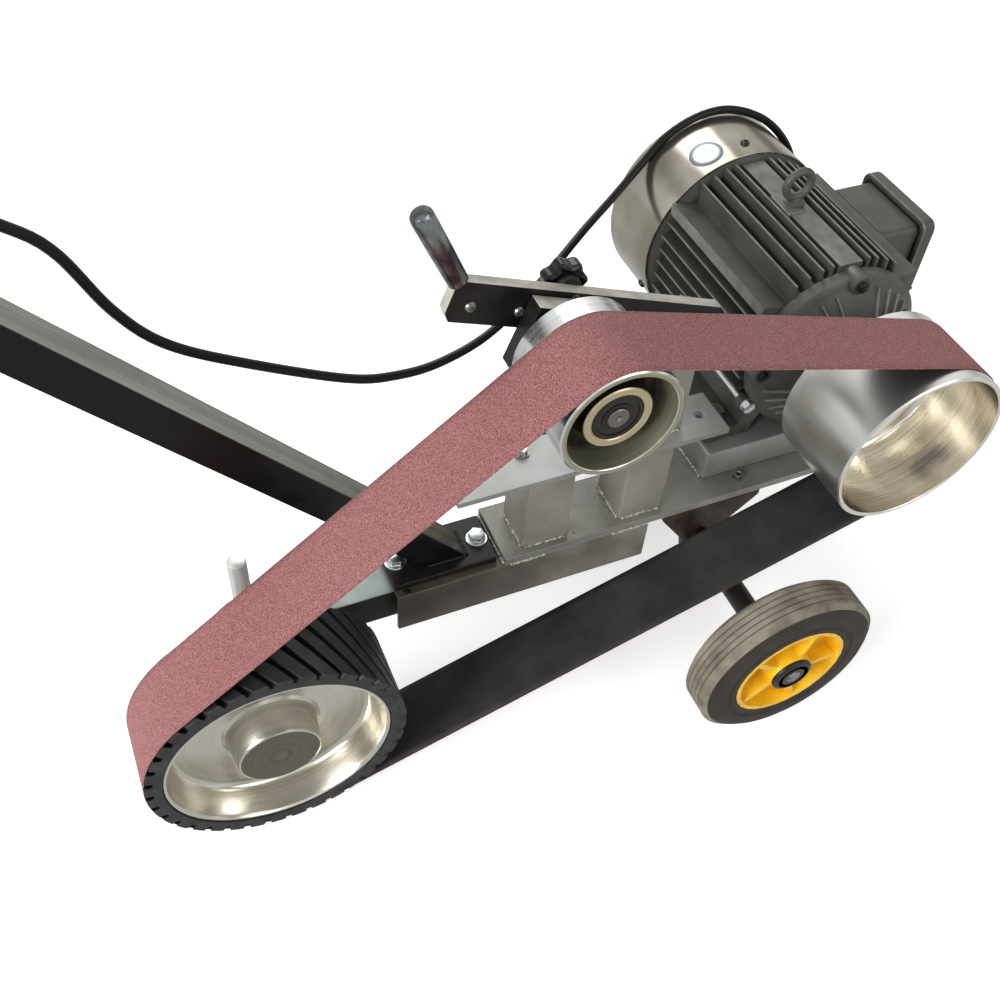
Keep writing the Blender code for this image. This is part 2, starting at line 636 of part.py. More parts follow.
def drive_wheel():
    """Thin-walled drum open to the front, on the motor's shaft, with the washer and screw that hold it."""
    front, rear = DRIVE_FRONT, DRIVE_FRONT + DRIVE_WIDTH
    inner = DRIVE_RADIUS - DRIVE_WALL
    web = (rear - 16 * MM, rear - 7 * MM)
    hub, hub_front = 25 * MM, SHOULDER_Y - SHAFT_STUB - 1 * MM
    bore = SHAFT_RADIUS + GAP
    profile = [(bore, rear - 2 * MM), (hub, rear - 2 * MM), (hub, web[1]), (inner, web[1]), (inner, rear),
               (DRIVE_RADIUS - 1 * MM, rear), (DRIVE_RADIUS, rear - 1.5 * MM), (DRIVE_RADIUS, front + 1.5 * MM),
               (DRIVE_RADIUS - 1 * MM, front), (inner, front), (inner, web[0]), (hub, web[0]), (hub, hub_front),
               (bore, hub_front)]
    centre = (DRIVE_CENTRE[0], 0, DRIVE_CENTRE[1])
    turned("drive_wheel", profile, centre, BRIGHT, LARGE)
    face = hub_front - GAP
    washer, head = (20 * MM, face - 4 * MM), (8 * MM, face - 10 * MM)
    profile = [(0, face), (washer[0], face), washer, (head[0], washer[1]), head, (0, head[1])]
    turned("drive_wheel_retainer", profile, centre, ZINC, SMALL)


def motor_shaft():
    """Stepped shaft from the drive wheel to the fan, and the rotor pressed around it."""
    centre = (DRIVE_CENTRE[0], 0, DRIVE_CENTRE[1])
    seat = SHAFT_RADIUS + 1 * MM
    rotor = 20 * MM
    tail = COWL_REAR - 16 * MM
    stator = stator_place()
    profile = [(0, tail), (11 * MM, tail), (11 * MM, HOUSING_REAR + 22 * MM), (seat, HOUSING_REAR + 22 * MM),
               (seat, stator[1] + 8 * MM), (rotor, stator[1] + 8 * MM), (rotor, stator[0] - 8 * MM),
               (seat, stator[0] - 8 * MM), (seat, SHOULDER_Y), (SHAFT_RADIUS, SHOULDER_Y),
               (SHAFT_RADIUS, SHOULDER_Y - SHAFT_STUB), (0, SHOULDER_Y - SHAFT_STUB)]
    turned("motor_shaft", profile, centre, ZINC, SMALL)
    ring("motor_rotor", rotor + GAP, STATOR_BORE - AIR_GAP, stator[0], stator[1], DRIVE_CENTRE, STEEL_GREY)


def stator_place():
    middle = (HOUSING_FRONT + HOUSING_REAR) / 2
    return middle - STATOR_LENGTH / 2, middle + STATOR_LENGTH / 2


def housing_outline():
    """Section of the stator frame: upright fins and a flat strip on top, level fins at the sides, two feet."""
    x0, z0 = DRIVE_CENTRE
    inner, tip = HOUSING_RADIUS, HOUSING_RADIUS + FIN_HEIGHT
    half, strip = FIN_THICK / 2, STRIP_WIDTH / 2
    side = [(-strip, inner + STRIP_HEIGHT), (-strip, sqrt(inner ** 2 - strip ** 2))]
    for angle in TOP_FINS:
        x = inner * sin(radians(angle))
        crown = sqrt(tip ** 2 - x ** 2)
        side += [(half - x, sqrt(inner ** 2 - (x - half) ** 2)), (half - x, crown), (-half - x, crown),
                 (-half - x, sqrt(inner ** 2 - (x + half) ** 2))]
    corner, root = (radians(a) for a in LUG_ANGLES)
    lug, low = inner + LUG_HEIGHT, inner * sin(root)
    side += [(-lug * cos(corner), lug * sin(corner)), (-lug * cos(corner), low), (-inner * cos(root), low)]
    for angle in SIDE_FINS:
        z = inner * sin(radians(angle))
        reach = min(inner + SIDE_FIN_HEIGHT, sqrt(tip ** 2 - z ** 2))
        side += [(-sqrt(inner ** 2 - (z + half) ** 2), z + half), (-reach, z + half), (-reach, z - half),
                 (-sqrt(inner ** 2 - (z - half) ** 2), z - half)]
    sole, top = GAP - MOTOR_HEIGHT, GAP - MOTOR_HEIGHT + FOOT_THICK
    outer, inside = FOOT_SPAN / 2, FOOT_SPAN / 2 - FOOT_WIDTH
    side += [(-inside - 14 * MM, top + 4 * MM), (-outer, top), (-outer, sole), (-inside, sole),
             (-inside + 4 * MM, top + 2 * MM)] + arc((0, 0), inner, radians(236), radians(270), 3)[:-1]
    whole = side + [(0, -inner)] + [(-x, z) for x, z in reversed(side)]
    return [(x0 + x, z0 + z) for x, z in whole]


def motor_housing():
    """Finned stator frame with feet, and the wound core inside it."""
    loops = [housing_outline(), circle(DRIVE_CENTRE, STATOR_RADIUS + GAP, MIDDLE)]
    housing = outline("motor_housing", loops, HOUSING_FRONT, HOUSING_REAR, MOTOR_PAINT)
    smooth(housing, radians(20))
    front, rear = stator_place()
    ring("motor_stator", STATOR_BORE, STATOR_RADIUS, front, rear, DRIVE_CENTRE, COPPER)


def end_shields():
    """Bearing shields at both ends of the motor and their bearings."""
    centre = (DRIVE_CENTRE[0], 0, DRIVE_CENTRE[1])
    bore, hole = MOTOR_BEARING_RADIUS + GAP, SHAFT_RADIUS + 1 * MM + 1 * MM
    face, back = SHOULDER_Y + 1 * MM, HOUSING_FRONT - GAP
    seat = face + 6 * MM
    stop, rim = seat + MOTOR_BEARING_WIDTH + 1 * MM, SHIELD_RADIUS
    profile = [(bore, stop), (44 * MM, stop), (50 * MM, back - 10 * MM), (rim - 18 * MM, back), (rim, back),
               (rim, back - 14 * MM), (rim - 10 * MM, back - 18 * MM), (60 * MM, face + 6 * MM),
               (48 * MM, face), (hole, face), (hole, seat), (bore, seat)]
    turned("drive_end_shield", profile, centre, MOTOR_PAINT)
    inner = SHAFT_RADIUS + 1 * MM + GAP
    ring("motor_bearing_front", inner, MOTOR_BEARING_RADIUS, seat + GAP, seat + GAP + MOTOR_BEARING_WIDTH,
         DRIVE_CENTRE, ZINC)
    start, edge = HOUSING_REAR + GAP, COWL_RADIUS - COWL_WALL - GAP
    profile = [(hole, start + 24 * MM), (44 * MM, start + 24 * MM), (50 * MM, start + 14 * MM),
               (edge - 12 * MM, start + 14 * MM), (edge, start + 14 * MM), (edge, start + 5 * MM), (rim, start),
               (bore + 4 * MM, start), (bore, start), (bore, start + MOTOR_BEARING_WIDTH + 1 * MM),
               (hole, start + MOTOR_BEARING_WIDTH + 1 * MM)]
    turned("rear_end_shield", profile, centre, MOTOR_PAINT)
    seat = start + 0.5 * MM
    ring("motor_bearing_rear", inner, MOTOR_BEARING_RADIUS, seat, seat + MOTOR_BEARING_WIDTH, DRIVE_CENTRE,
         ZINC)


def fan_cowl():
    """Pressed cover over the fan, with air slots in its rear wall."""
    centre = (DRIVE_CENTRE[0], 0, DRIVE_CENTRE[1])
    r, w = COWL_RADIUS, COWL_WALL
    shoulder, hub = COWL_SHOULDER, 16 * MM
    outer = [(hub, COWL_REAR), (r - shoulder, COWL_REAR)]
    outer += [(r - shoulder + shoulder * sin(a), COWL_REAR - shoulder + shoulder * cos(a))
              for a in (radians(30), radians(60), radians(90))]
    outer += [(r, COWL_FRONT)]
    inner = [(r - w, COWL_FRONT), (r - w, COWL_REAR - shoulder)]
    inner += [(r - shoulder + (shoulder - w) * sin(a), COWL_REAR - shoulder + (shoulder - w) * cos(a))
              for a in (radians(60), radians(30))]
    inner += [(r - shoulder, COWL_REAR - w), (hub, COWL_REAR - w)]
    cowl = turned("fan_cowl", outer + inner, centre, COWL_PAINT)
    slots = bmesh.new()
    count = 16
    for i in range(count):
        made = bmesh.ops.create_cube(slots, size=1)["verts"]
        bmesh.ops.scale(slots, vec=(54 * MM, 20 * MM, 9 * MM), verts=made)
        bmesh.ops.translate(slots, vec=(56 * MM, 0, 0), verts=made)
        bmesh.ops.rotate(slots, matrix=Matrix.Rotation(2 * pi * i / count, 3, "Y"), verts=made)
    combine(cowl, from_bmesh(slots, "cowl_slots", None, (centre[0], COWL_REAR, centre[2])))


def cooling_fan():
    """Hub with straight blades on the shaft's rear end."""
    front, rear = HOUSING_REAR + 40 * MM, COWL_REAR - 22 * MM
    hub = 24 * MM
    fan = ring("cooling_fan", 11 * MM + GAP, hub, front, rear, DRIVE_CENTRE, BLACK_PAINT, SMALL)
    disc = ring("fan_disc", hub - 4 * MM, 84 * MM, front, front + 4 * MM, DRIVE_CENTRE)
    join(fan, disc)
    blades = bmesh.new()
    for i in range(7):
        made = bmesh.ops.create_cube(blades, size=1)["verts"]
        bmesh.ops.scale(blades, vec=(60 * MM, rear - front - 6 * MM, 4 * MM), verts=made)
        bmesh.ops.translate(blades, vec=(52 * MM, 0, 0), verts=made)
        bmesh.ops.rotate(blades, matrix=Matrix.Rotation(2 * pi * i / 7, 3, "Y"), verts=made)
    middle = (front + rear) / 2
    join(fan, from_bmesh(blades, "fan_blades", None, (DRIVE_CENTRE[0], middle, DRIVE_CENTRE[1])))


def motor_fittings():
    """Lifting eye on top and the terminal box on the far side, with its cover and cable gland."""
    x0, z0 = DRIVE_CENTRE
    crown = z0 + HOUSING_RADIUS + STRIP_HEIGHT + GAP
    eye_z = crown + 8 * MM + EYE_RADIUS
    turns = [(x, EYE_PLACE, z) for x, z in circle((x0, eye_z), EYE_RADIUS, 18)]
    eye = round_loop("eye_bolt", turns, EYE_WIRE, MOTOR_PAINT)
    join(eye, rod("eye_foot", (x0, EYE_PLACE, crown), (x0, EYE_PLACE, crown + 8 * MM), 11 * MM, None, 16))
    side = x0 + HOUSING_RADIUS + SIDE_FIN_HEIGHT + GAP
    face = side + TERMINAL_DEPTH
    low, high = TERMINAL_LOW + TERMINAL_RIM, TERMINAL_HIGH - TERMINAL_RIM
    front, rear = TERMINAL_FRONT + TERMINAL_RIM, TERMINAL_REAR - TERMINAL_RIM
    box = block("terminal_box", (side, front, low), (face, rear, high), MOTOR_PAINT)
    wall = 4 * MM
    combine(box, block("terminal_hollow", (side + wall, front + wall, low + wall),
                       (face + 0.01, rear - wall, high - wall)))
    end = (side + TERMINAL_DEPTH / 2, rear + GLAND_LENGTH, low + GLAND_RADIUS + 4 * MM)
    join(box, rod("terminal_gland", (end[0], rear - 2 * MM, end[2]), end, GLAND_RADIUS, None, 12))
    cover = block("terminal_cover", (face + GAP, TERMINAL_FRONT, TERMINAL_LOW),
                  (face + GAP + COVER_THICK, TERMINAL_REAR, TERMINAL_HIGH), MOTOR_PAINT)
    bevel = cover.modifiers.new("edge", "BEVEL")
    bevel.width = 5 * MM
    bevel.segments = 1
    return end


def round_loop(name, points, radius, look):
    """Closed round wire through points."""
    curve = bpy.data.curves.new(name, "CURVE")
    curve.dimensions = "3D"
    curve.bevel_depth = radius
    curve.bevel_resolution = 2
    spline = curve.splines.new("POLY")
    spline.points.add(len(points) - 1)
    for point, place_ in zip(spline.points, points):
        point.co = (*place_, 1)
    spline.use_cyclic_u = True
    obj = to_mesh(bpy.data.objects.new(name, curve), name, look)
    smooth(obj)
    return obj


def frame():
    """Base plate, front channel, posts, upper plate and motor rails."""
    top, bottom = BASE_TOP, BASE_BOTTOM
    step = RAIL_LEFT - 29 * MM
    shape = [(BASE_LEFT, FRAME_FRONT), (BASE_RIGHT, FRAME_FRONT), (BASE_RIGHT, BASE_REAR), (step, BASE_REAR),
             (step, FRAME_FRONT + CHANNEL_DEPTH), (BASE_LEFT, FRAME_FRONT + CHANNEL_DEPTH)]
    flat_plate("base_plate", shape, bottom, top, STEEL_GREY)
    x0, x1 = CHANNEL_LEFT, CHANNEL_LEFT + CHANNEL_LENGTH
    y0, y1 = FRAME_FRONT, FRAME_FRONT + CHANNEL_DEPTH
    channel = block("front_channel", (x0, y0, CHANNEL_TOP - CHANNEL_HEIGHT), (x1, y1, CHANNEL_TOP), STEEL_GREY)
    w = CHANNEL_WALL
    combine(channel, block("channel_hollow", (x0 - 0.01, y0 + w, CHANNEL_TOP - CHANNEL_HEIGHT - 0.01),
                           (x1 + 0.01, y1 - w, CHANNEL_TOP - w)))
    for name, left in zip(("post_left", "post_right"), POST_LEFTS):
        under = UPPER_TOP - UPPER_THICK - GAP
        post = block(name, (left, POST_FRONT, top + GAP), (left + POST_SIZE, POST_FRONT + POST_SIZE, under),
                     STEEL_GREY)
        combine(post, block(name + "_hollow", (left + POST_WALL, POST_FRONT + POST_WALL, top - 0.01),
                            (left + POST_SIZE - POST_WALL, POST_FRONT + POST_SIZE - POST_WALL, under + 0.01)))
    y0, y1 = UPPER_FRONT, UPPER_FRONT + UPPER_DEPTH
    plate = block("upper_plate", (UPPER_LEFT, y0, UPPER_TOP - UPPER_THICK), (UPPER_RIGHT, y1, UPPER_TOP),
                  STEEL_GREY)
    hole = (UPPER_RIGHT - 21 * MM, (y0 + y1) / 2)
    drill(plate, (*hole, UPPER_TOP - 0.02), (*hole, UPPER_TOP + 0.02), 5.5 * MM)
    for name, front in zip(("motor_rail_front", "motor_rail_rear"), RAIL_FRONTS):
        low, high = BASE_TOP + GAP, BASE_TOP + GAP + RAIL_HEIGHT
        right, rear = RAIL_LEFT + RAIL_LENGTH, front + RAIL_DEPTH
        rail = block(name, (RAIL_LEFT, front, low), (right, rear, high), STEEL_GREY)
        combine(rail, block(name + "_hollow", (RAIL_LEFT + RAIL_WALL, front + RAIL_WALL, low - 0.01),
                            (right + 0.01, rear - RAIL_WALL, high - RAIL_WALL)))


def flat_plate(name, shape, bottom, top, look):
    """Plate with an outline in the XY plane."""
    curve = bpy.data.curves.new(name, "CURVE")
    curve.dimensions = "2D"
    curve.fill_mode = "BOTH"
    curve.extrude = (top - bottom) / 2
    spline = curve.splines.new("POLY")
    spline.points.add(len(shape) - 1)
    for point, (x, y) in zip(spline.points, shape):
        point.co = (x, y, 0, 1)
    spline.use_cyclic_u = True
    flat = bpy.data.objects.new(name, curve)
    flat.location = (0, 0, (bottom + top) / 2)
    return to_mesh(flat, name, look)


def socket_screw(name, x, y, surface):
    """Cap screw with a hexagon socket, standing on a surface."""
    head = rod(name, (x, y, surface + GAP), (x, y, surface + GAP + 8 * MM), 6.5 * MM, ZINC, 16)
    combine(head, rod(name + "_socket", (x, y, surface + 4 * MM), (x, y, surface + 0.02), 3 * MM, None, 6))


def boom_axes():
    """Direction up the boom and the direction square to it, away from the floor."""
    along = Vector((-cos(BOOM_ANGLE), 0, sin(BOOM_ANGLE)))
    out = Vector((sin(BOOM_ANGLE), 0, cos(BOOM_ANGLE)))
    return along, out


def boom_point(along, out=0.0, y=None):
    """Point given along the boom from its foot and outwards from its centreline."""
    a, o = boom_axes()
    middle = FLANGE_FRONT + FLANGE_DEPTH / 2
    foot = Vector((BOOM_FOOT_X, middle if y is None else y, FLANGE_TOP + GAP))
    return foot + a * along + o * out


def boom():
    """Flange, its two bolts, and the slanting boom tube with a flat foot and a small pad beneath."""
    y0, y1 = FLANGE_FRONT, FLANGE_FRONT + FLANGE_DEPTH
    middle = (y0 + y1) / 2
    low = CHANNEL_TOP + GAP
    flange = block("boom_flange", (FLANGE_LEFT, y0, low), (FLANGE_LEFT + FLANGE_LENGTH, y1, FLANGE_TOP),
                   BLACK_PAINT)
    for name, x in (("flange_bolt_left", FLANGE_LEFT + FLANGE_BOLT_INSET),
                    ("flange_bolt_right", FLANGE_LEFT + FLANGE_LENGTH - FLANGE_BOLT_INSET)):
        drill(flange, (x, middle, low - 0.01), (x, middle, FLANGE_TOP + 0.01), BOLT_RADIUS + GAP, 16)
        flange_bolt(name, x, middle, FLANGE_TOP + GAP, low + 0.5 * MM)
    half = BOOM_SIZE / 2
    foot_run = half / tan(BOOM_ANGLE)
    section = [boom_point(foot_run, -half), boom_point(BOOM_LENGTH, -half), boom_point(BOOM_LENGTH, half),
               boom_point(-foot_run, half)]
    tube = outline("boom_tube", [[(p.x, p.z) for p in section]], middle - half, middle + half, BLACK_PAINT)
    inner = half - BOOM_WALL
    low, high = 30 * MM, BOOM_LENGTH + 0.01
    core = [boom_point(low, -inner), boom_point(high, -inner), boom_point(high, inner), boom_point(low, inner)]
    combine(tube, outline("boom_hollow", [[(p.x, p.z) for p in core]], middle - inner, middle + inner))
    place_, length, width, thick = BOOM_PAD
    pad = [boom_point(place_, -half + 1 * MM), boom_point(place_ + length, -half + 1 * MM),
           boom_point(place_ + length, -half - thick), boom_point(place_ + 4 * MM, -half - thick)]
    join(tube, outline("boom_pad", [[(p.x, p.z) for p in pad]], middle - width / 2, middle + width / 2))


def flange_bolt(name, x, y, seat, bottom):
    """Hexagon flange bolt standing on a seat."""
    bolt = rod(name, (x, y, bottom), (x, y, seat + 1 * MM), BOLT_RADIUS, ZINC, 12)
    join(bolt, rod(name + "_flange", (x, y, seat), (x, y, seat + 2.5 * MM), 10 * MM))
    join(bolt, rod(name + "_head", (x, y, seat + 1 * MM), (x, y, seat + 9 * MM), 8 * MM, None, 6))


def handlebar():
    """Cross bar on the boom's end with a rubber grip at each side."""
    centre = boom_point(BOOM_LENGTH + BAR_RADIUS + GAP)
    y0, y1 = centre.y - BAR_LENGTH / 2, centre.y + BAR_LENGTH / 2
    ring("handlebar", BAR_RADIUS - BAR_WALL, BAR_RADIUS, y0, y1, (centre.x, centre.z), BLACK_PAINT, SMALL)
    inner, outer = BAR_RADIUS + GAP, BAR_RADIUS + GRIP_WALL
    profile = [(0, GAP), (inner, GAP), (inner, GRIP_LENGTH), (outer, GRIP_LENGTH), (outer, 3 * MM),
               (outer - 3 * MM, -GRIP_WALL), (0, -GRIP_WALL)]
    turned("grip_front", profile, (centre.x, y0 - 2 * GAP, centre.z), RUBBER, SMALL)
    rear = turned("grip_rear", profile, (centre.x, y1 + 2 * GAP, centre.z), RUBBER, SMALL)
    rear.rotation_euler = (pi / 2, 0, 0)


def switch_box():
    """Switch box on the boom with two push buttons, and a gland at its lower end for the cable."""
    long_, wide, tall = SWITCH_SIZE
    along, out = boom_axes()
    base = BOOM_SIZE / 2 + GAP
    turn = Matrix((along, (0, 1, 0), out)).transposed().to_4x4()
    if turn.determinant() < 0:
        turn = Matrix((along, (0, -1, 0), out)).transposed().to_4x4()
    seat = boom_point(SWITCH_PLACE, base)
    box = block("switch_box", (-long_ / 2, -wide / 2, 0), (long_ / 2, wide / 2, tall), BLACK_PAINT)
    hollow = block("switch_hollow", (-long_ / 2 + SWITCH_WALL, -wide / 2 + SWITCH_WALL, SWITCH_WALL),
                   (long_ / 2 - SWITCH_WALL, wide / 2 - SWITCH_WALL, tall - SWITCH_WALL))
    made = [box, hollow]
    combine(box, hollow)
    for name, side, look in (("start_button", 1, GREEN), ("stop_button", -1, RED)):
        x = side * BUTTON_SPACING / 2
        hole = rod(name + "_hole", (x, 0, tall - 0.02), (x, 0, tall + 0.02), BUTTON_RADIUS + GAP)
        combine(box, hole)
        made.append(hole)
        made.append(rod(name, (x, 0, tall - SWITCH_WALL - 4 * MM), (x, 0, tall + BUTTON_HEIGHT - 4 * MM),
                        BUTTON_RADIUS, look))
    gland = rod("switch_gland", (-long_ / 2 + 1 * MM, 0, tall / 2), (-long_ / 2 - GLAND_LENGTH, 0, tall / 2),
                GLAND_RADIUS, None, 12)
    made.append(gland)
    join(box, gland)
    for obj in made:
        obj.matrix_world = Matrix.Translation(seat) @ turn @ Matrix.Translation(obj.location)
    return boom_point(SWITCH_PLACE - long_ / 2 - GLAND_LENGTH, base + tall / 2)


def cart():
    """Axle, its two brackets under the base plate, and a tyred wheel at each end."""
    x, z = CART_CENTRE_X, CART_CENTRE_Z
    half = CART_WIDTH / 2
    near, far = CART_MIDDLES
    shoulder = 3 * MM
    stub, thick = CART_STUB_RADIUS, CART_AXLE_RADIUS
    rear, front = far + half + 1 * MM, near - half - 1 * MM
    steps = far - half - shoulder, near + half + shoulder
    profile = [(0, rear), (stub, rear), (stub, steps[0]), (thick, steps[0]), (thick, steps[1]),
               (stub, steps[1]), (stub, front), (0, front)]
    turned("cart_axle", profile, (x, 0, z), BLACK_PAINT, SMALL)
    top = BASE_BOTTOM - GAP
    left, right = max(x - 52 * MM, CHANNEL_LEFT + CHANNEL_LENGTH + 2 * MM), x + 72 * MM
    for name, front in zip(("axle_bracket_front", "axle_bracket_rear"), BRACKET_FRONTS):
        shape = [(x - 17 * MM, z - 16 * MM), (x + 17 * MM, z - 16 * MM), (x + 24 * MM, z),
                 (right, top - 10 * MM), (right, top), (left, top), (left, top - 10 * MM), (x - 20 * MM, z)]
        hole = circle((x, z), CART_AXLE_RADIUS + GAP, SMALL)
        plate = outline(name, [shape, hole], front, front + BRACKET_THICK, BLACK_PAINT)
        join(plate, block(name + "_flange", (left + 3 * MM, front + 1 * MM, top - 6 * MM),
                          (right, front + 44 * MM, top)))
    for side, middle, facing in (("front", near, 1), ("rear", far, -1)):
        cart_tyre(side, middle, (x, z))
        cart_rim(side, middle, (x, z), facing)


def cart_tyre(side, middle, centre):
    r, half, seat = CART_RADIUS, CART_WIDTH / 2, CART_RIM_RADIUS + GAP
    front = [(r, 0), (r - 1 * MM, -half + 12 * MM), (r - 6 * MM, -half + 5 * MM), (r - 18 * MM, -half),
             (seat, -half + 1 * MM)]
    profile = [(radius, -y) for radius, y in reversed(front[1:])] + front
    turned("cart_tyre_" + side, profile, (centre[0], middle, centre[1]), TYRE)


def cart_rim(side, middle, centre, facing):
    """Plastic rim with pockets between its spokes and a round cap over the axle's end."""
    half, r = CART_WIDTH / 2, CART_RIM_RADIUS
    bore = CART_STUB_RADIUS + GAP
    cap = CART_CAP_RADIUS
    outer_end = half + 5 * MM
    profile = [(0, -half - 2 * MM), (bore, -half - 2 * MM), (bore, half - 2 * MM), (24 * MM, half - 2 * MM),
               (25 * MM, 9 * MM), (r - 7 * MM, 9 * MM),
               (r - 6 * MM, half - 2 * MM), (r, half - 2 * MM), (r, -half + 1 * MM), (r - 5 * MM, -half + 1 * MM),
               (r - 8 * MM, -5 * MM), (cap + 3 * MM, -5 * MM), (cap + 1 * MM, -half), (cap, -half),
               (cap, 2 * MM - outer_end), (cap - 4 * MM, -outer_end), (0, -outer_end)]
    rim = turned("cart_rim_" + side, profile, (centre[0], middle, centre[1]), YELLOW)
    if facing < 0:
        rim.rotation_euler = (pi / 2, 0, 0)
    spokes = bmesh.new()
    for i in range(CART_SPOKES):
        made = bmesh.ops.create_cube(spokes, size=1)["verts"]
        length = r - cap - 2 * MM
        bmesh.ops.scale(spokes, vec=(length, half - 6 * MM, 6 * MM), verts=made)
        bmesh.ops.translate(spokes, vec=(cap + 1 * MM + length / 2 - 1 * MM, -facing * half / 2, 0), verts=made)
        bmesh.ops.rotate(spokes, matrix=Matrix.Rotation(2 * pi * i / CART_SPOKES, 3, "Y"), verts=made)
    join(rim, from_bmesh(spokes, "spokes_" + side, None, (centre[0], middle, centre[1])))


def smooth_route(points, spacing):
    """Evenly spaced points on a smooth curve through the given ones."""
    points = [Vector(p) for p in points]
    ends = [2 * points[0] - points[1]] + points + [2 * points[-1] - points[-2]]
    fine = []
    for a, b, c, d in zip(ends, ends[1:], ends[2:], ends[3:]):
        for i in range(24):
            t = i / 24
            fine.append(0.5 * ((2 * b) + (c - a) * t + (2 * a - 5 * b + 4 * c - d) * t * t
                               + (3 * b - a - 3 * c + d) * t ** 3))
    fine.append(points[-1])
    route, left = [fine[0]], spacing
    for a, b in zip(fine, fine[1:]):
        step = (b - a).length
        while step > left:
            a = a + (b - a) * (left / step)
            route.append(a)
            step -= left
            left = spacing
        left -= step
    if (route[-1] - fine[-1]).length < spacing / 2:
        route.pop()
    return route + [fine[-1]]


def power_cable(gland, switch):
    """Cable from the terminal box over the fan cowl and, hanging free, up to the switch box."""
    along, _ = boom_axes()
    start = Vector(gland) + Vector((0, GAP, 0))
    end = switch - along * GAP
    over = COWL_RADIUS + GAP + CABLE_RADIUS + 1.2 * MM
    around = [(DRIVE_CENTRE[0] + over * cos(radians(a)), y * MM, DRIVE_CENTRE[1] + over * sin(radians(a)))
              for a, y in ((14, 408), (35, 420), (57, 428), (80, 434), (100, 434), (120, 431), (138, 426))]
    route = [start, start + Vector((0, 16 * MM, 0)), start + Vector((0, 36 * MM, 4 * MM)),
             start + Vector((-3 * MM, 51 * MM, 16.5 * MM))] + around + [
             (519 * MM, 405 * MM, 244 * MM), (472 * MM, 380 * MM, 227 * MM), (394 * MM, 325 * MM, 214 * MM),
             (318 * MM, 278 * MM, 205 * MM), (253 * MM, 250 * MM, 208 * MM), (200 * MM, 234 * MM, 220 * MM),
             (147 * MM, 222 * MM, 243 * MM), (49 * MM, 205 * MM, 307 * MM), (-9 * MM, 196 * MM, 352 * MM),
             (-42 * MM, 194 * MM, 396 * MM), (-71 * MM, 190 * MM, 460 * MM), (-100 * MM, 184 * MM, 494 * MM),
             (end - along * 90 * MM) + Vector((0, 12 * MM, 12 * MM)), end - along * 34 * MM, end]
    bent_rod("power_cable", smooth_route(route, 24 * MM), CABLE_RADIUS, BLACK_PAINT, 2)


def settle():
    """Stand the machine on Z = 0 with the middle of its footprint, cable left out, at the origin."""
    bpy.context.view_layer.update()
    depsgraph = bpy.context.evaluated_depsgraph_get()
    standing = [obj for obj in MACHINE.objects if obj.name != "power_cable" and obj.type == "MESH"]
    corners = [obj.matrix_world @ Vector(c) for obj in standing for c in obj.evaluated_get(depsgraph).bound_box]
    low = Vector([min(c[i] for c in corners) for i in range(3)])
    high = Vector([max(c[i] for c in corners) for i in range(3)])
    shift = Vector((-(low.x + high.x) / 2, -(low.y + high.y) / 2, -low.z))
    for obj in list(MACHINE.objects) + list(CUTTERS.objects):
        if obj.parent is None:
            obj.location = obj.location + shift


def build():
    frame()
    socket_screw("upper_plate_screw", POST_LEFTS[0] + 8 * MM, UPPER_FRONT + 42 * MM, UPPER_TOP)
    boom()
    handlebar()
    sanding_belt()
    contact_tyre()
    contact_wheel()
    contact_support()
    tension_wheel()
    tension_lever()
    tracking_block()
    tracking_knob()
    lever_bracket()
    drive_wheel()
    motor_shaft()
    motor_housing()
    end_shields()
    fan_cowl()
    cooling_fan()
    gland = motor_fittings()
    switch = switch_box()
    cart()
    power_cable(gland, switch)
    settle()


build()
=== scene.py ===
"""Wheeled belt grinder with a rubber contact drum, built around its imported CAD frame."""

import random
from math import acos, atan2, cos, hypot, pi, radians, sin, sqrt

import bmesh
import bpy
from mathutils import Matrix, Vector


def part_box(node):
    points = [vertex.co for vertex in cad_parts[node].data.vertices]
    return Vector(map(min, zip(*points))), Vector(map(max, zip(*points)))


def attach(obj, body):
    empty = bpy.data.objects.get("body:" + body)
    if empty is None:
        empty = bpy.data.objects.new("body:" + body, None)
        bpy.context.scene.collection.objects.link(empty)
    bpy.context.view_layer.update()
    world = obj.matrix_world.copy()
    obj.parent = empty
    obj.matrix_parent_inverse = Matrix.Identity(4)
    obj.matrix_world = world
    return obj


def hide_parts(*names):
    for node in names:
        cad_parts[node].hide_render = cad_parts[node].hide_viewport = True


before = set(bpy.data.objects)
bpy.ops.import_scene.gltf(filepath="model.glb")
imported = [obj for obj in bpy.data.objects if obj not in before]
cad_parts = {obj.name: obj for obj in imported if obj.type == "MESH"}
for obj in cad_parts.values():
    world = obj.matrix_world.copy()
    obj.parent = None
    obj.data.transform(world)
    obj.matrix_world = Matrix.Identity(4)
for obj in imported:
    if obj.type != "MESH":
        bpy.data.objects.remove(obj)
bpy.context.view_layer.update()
random.seed(7)
MM = 0.001


# ---------------------------------------------------------------- Studio
# A white floor in plain soft light. The camera looks down on the belt side from the front left, with a
# little roll, and every place is measured from the contact drum's axis and front face.
drum_low, drum_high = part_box("contact_tyre")
DATUM = Vector(((drum_low[0] + drum_high[0]) / 2, drum_low[1], (drum_low[2] + drum_high[2]) / 2))
LENS = 40.91
HEADING, TILT, ROLL = radians(-26.754), radians(41.311), radians(4.943)
CAMERA_PLACE = (-65.9, -538.84, 972.53)
TO_REAR, TO_FRONT, UPWARDS = (0, 1, 0), (0, -1, 0), (0, 0, 1)


def at(x, y, z):
    """Point in millimetres from the contact drum's axis and front face."""
    return DATUM + Vector((x, y, z)) * MM


def linear(colour, alpha=1.0):
    """sRGB hex colour to the linear values that sockets hold."""
    parts = [int(colour[i:i + 2], 16) / 255 for i in (1, 3, 5)]
    return tuple(p / 12.92 if p <= 0.04045 else ((p + 0.055) / 1.055) ** 2.4 for p in parts) + (alpha,)


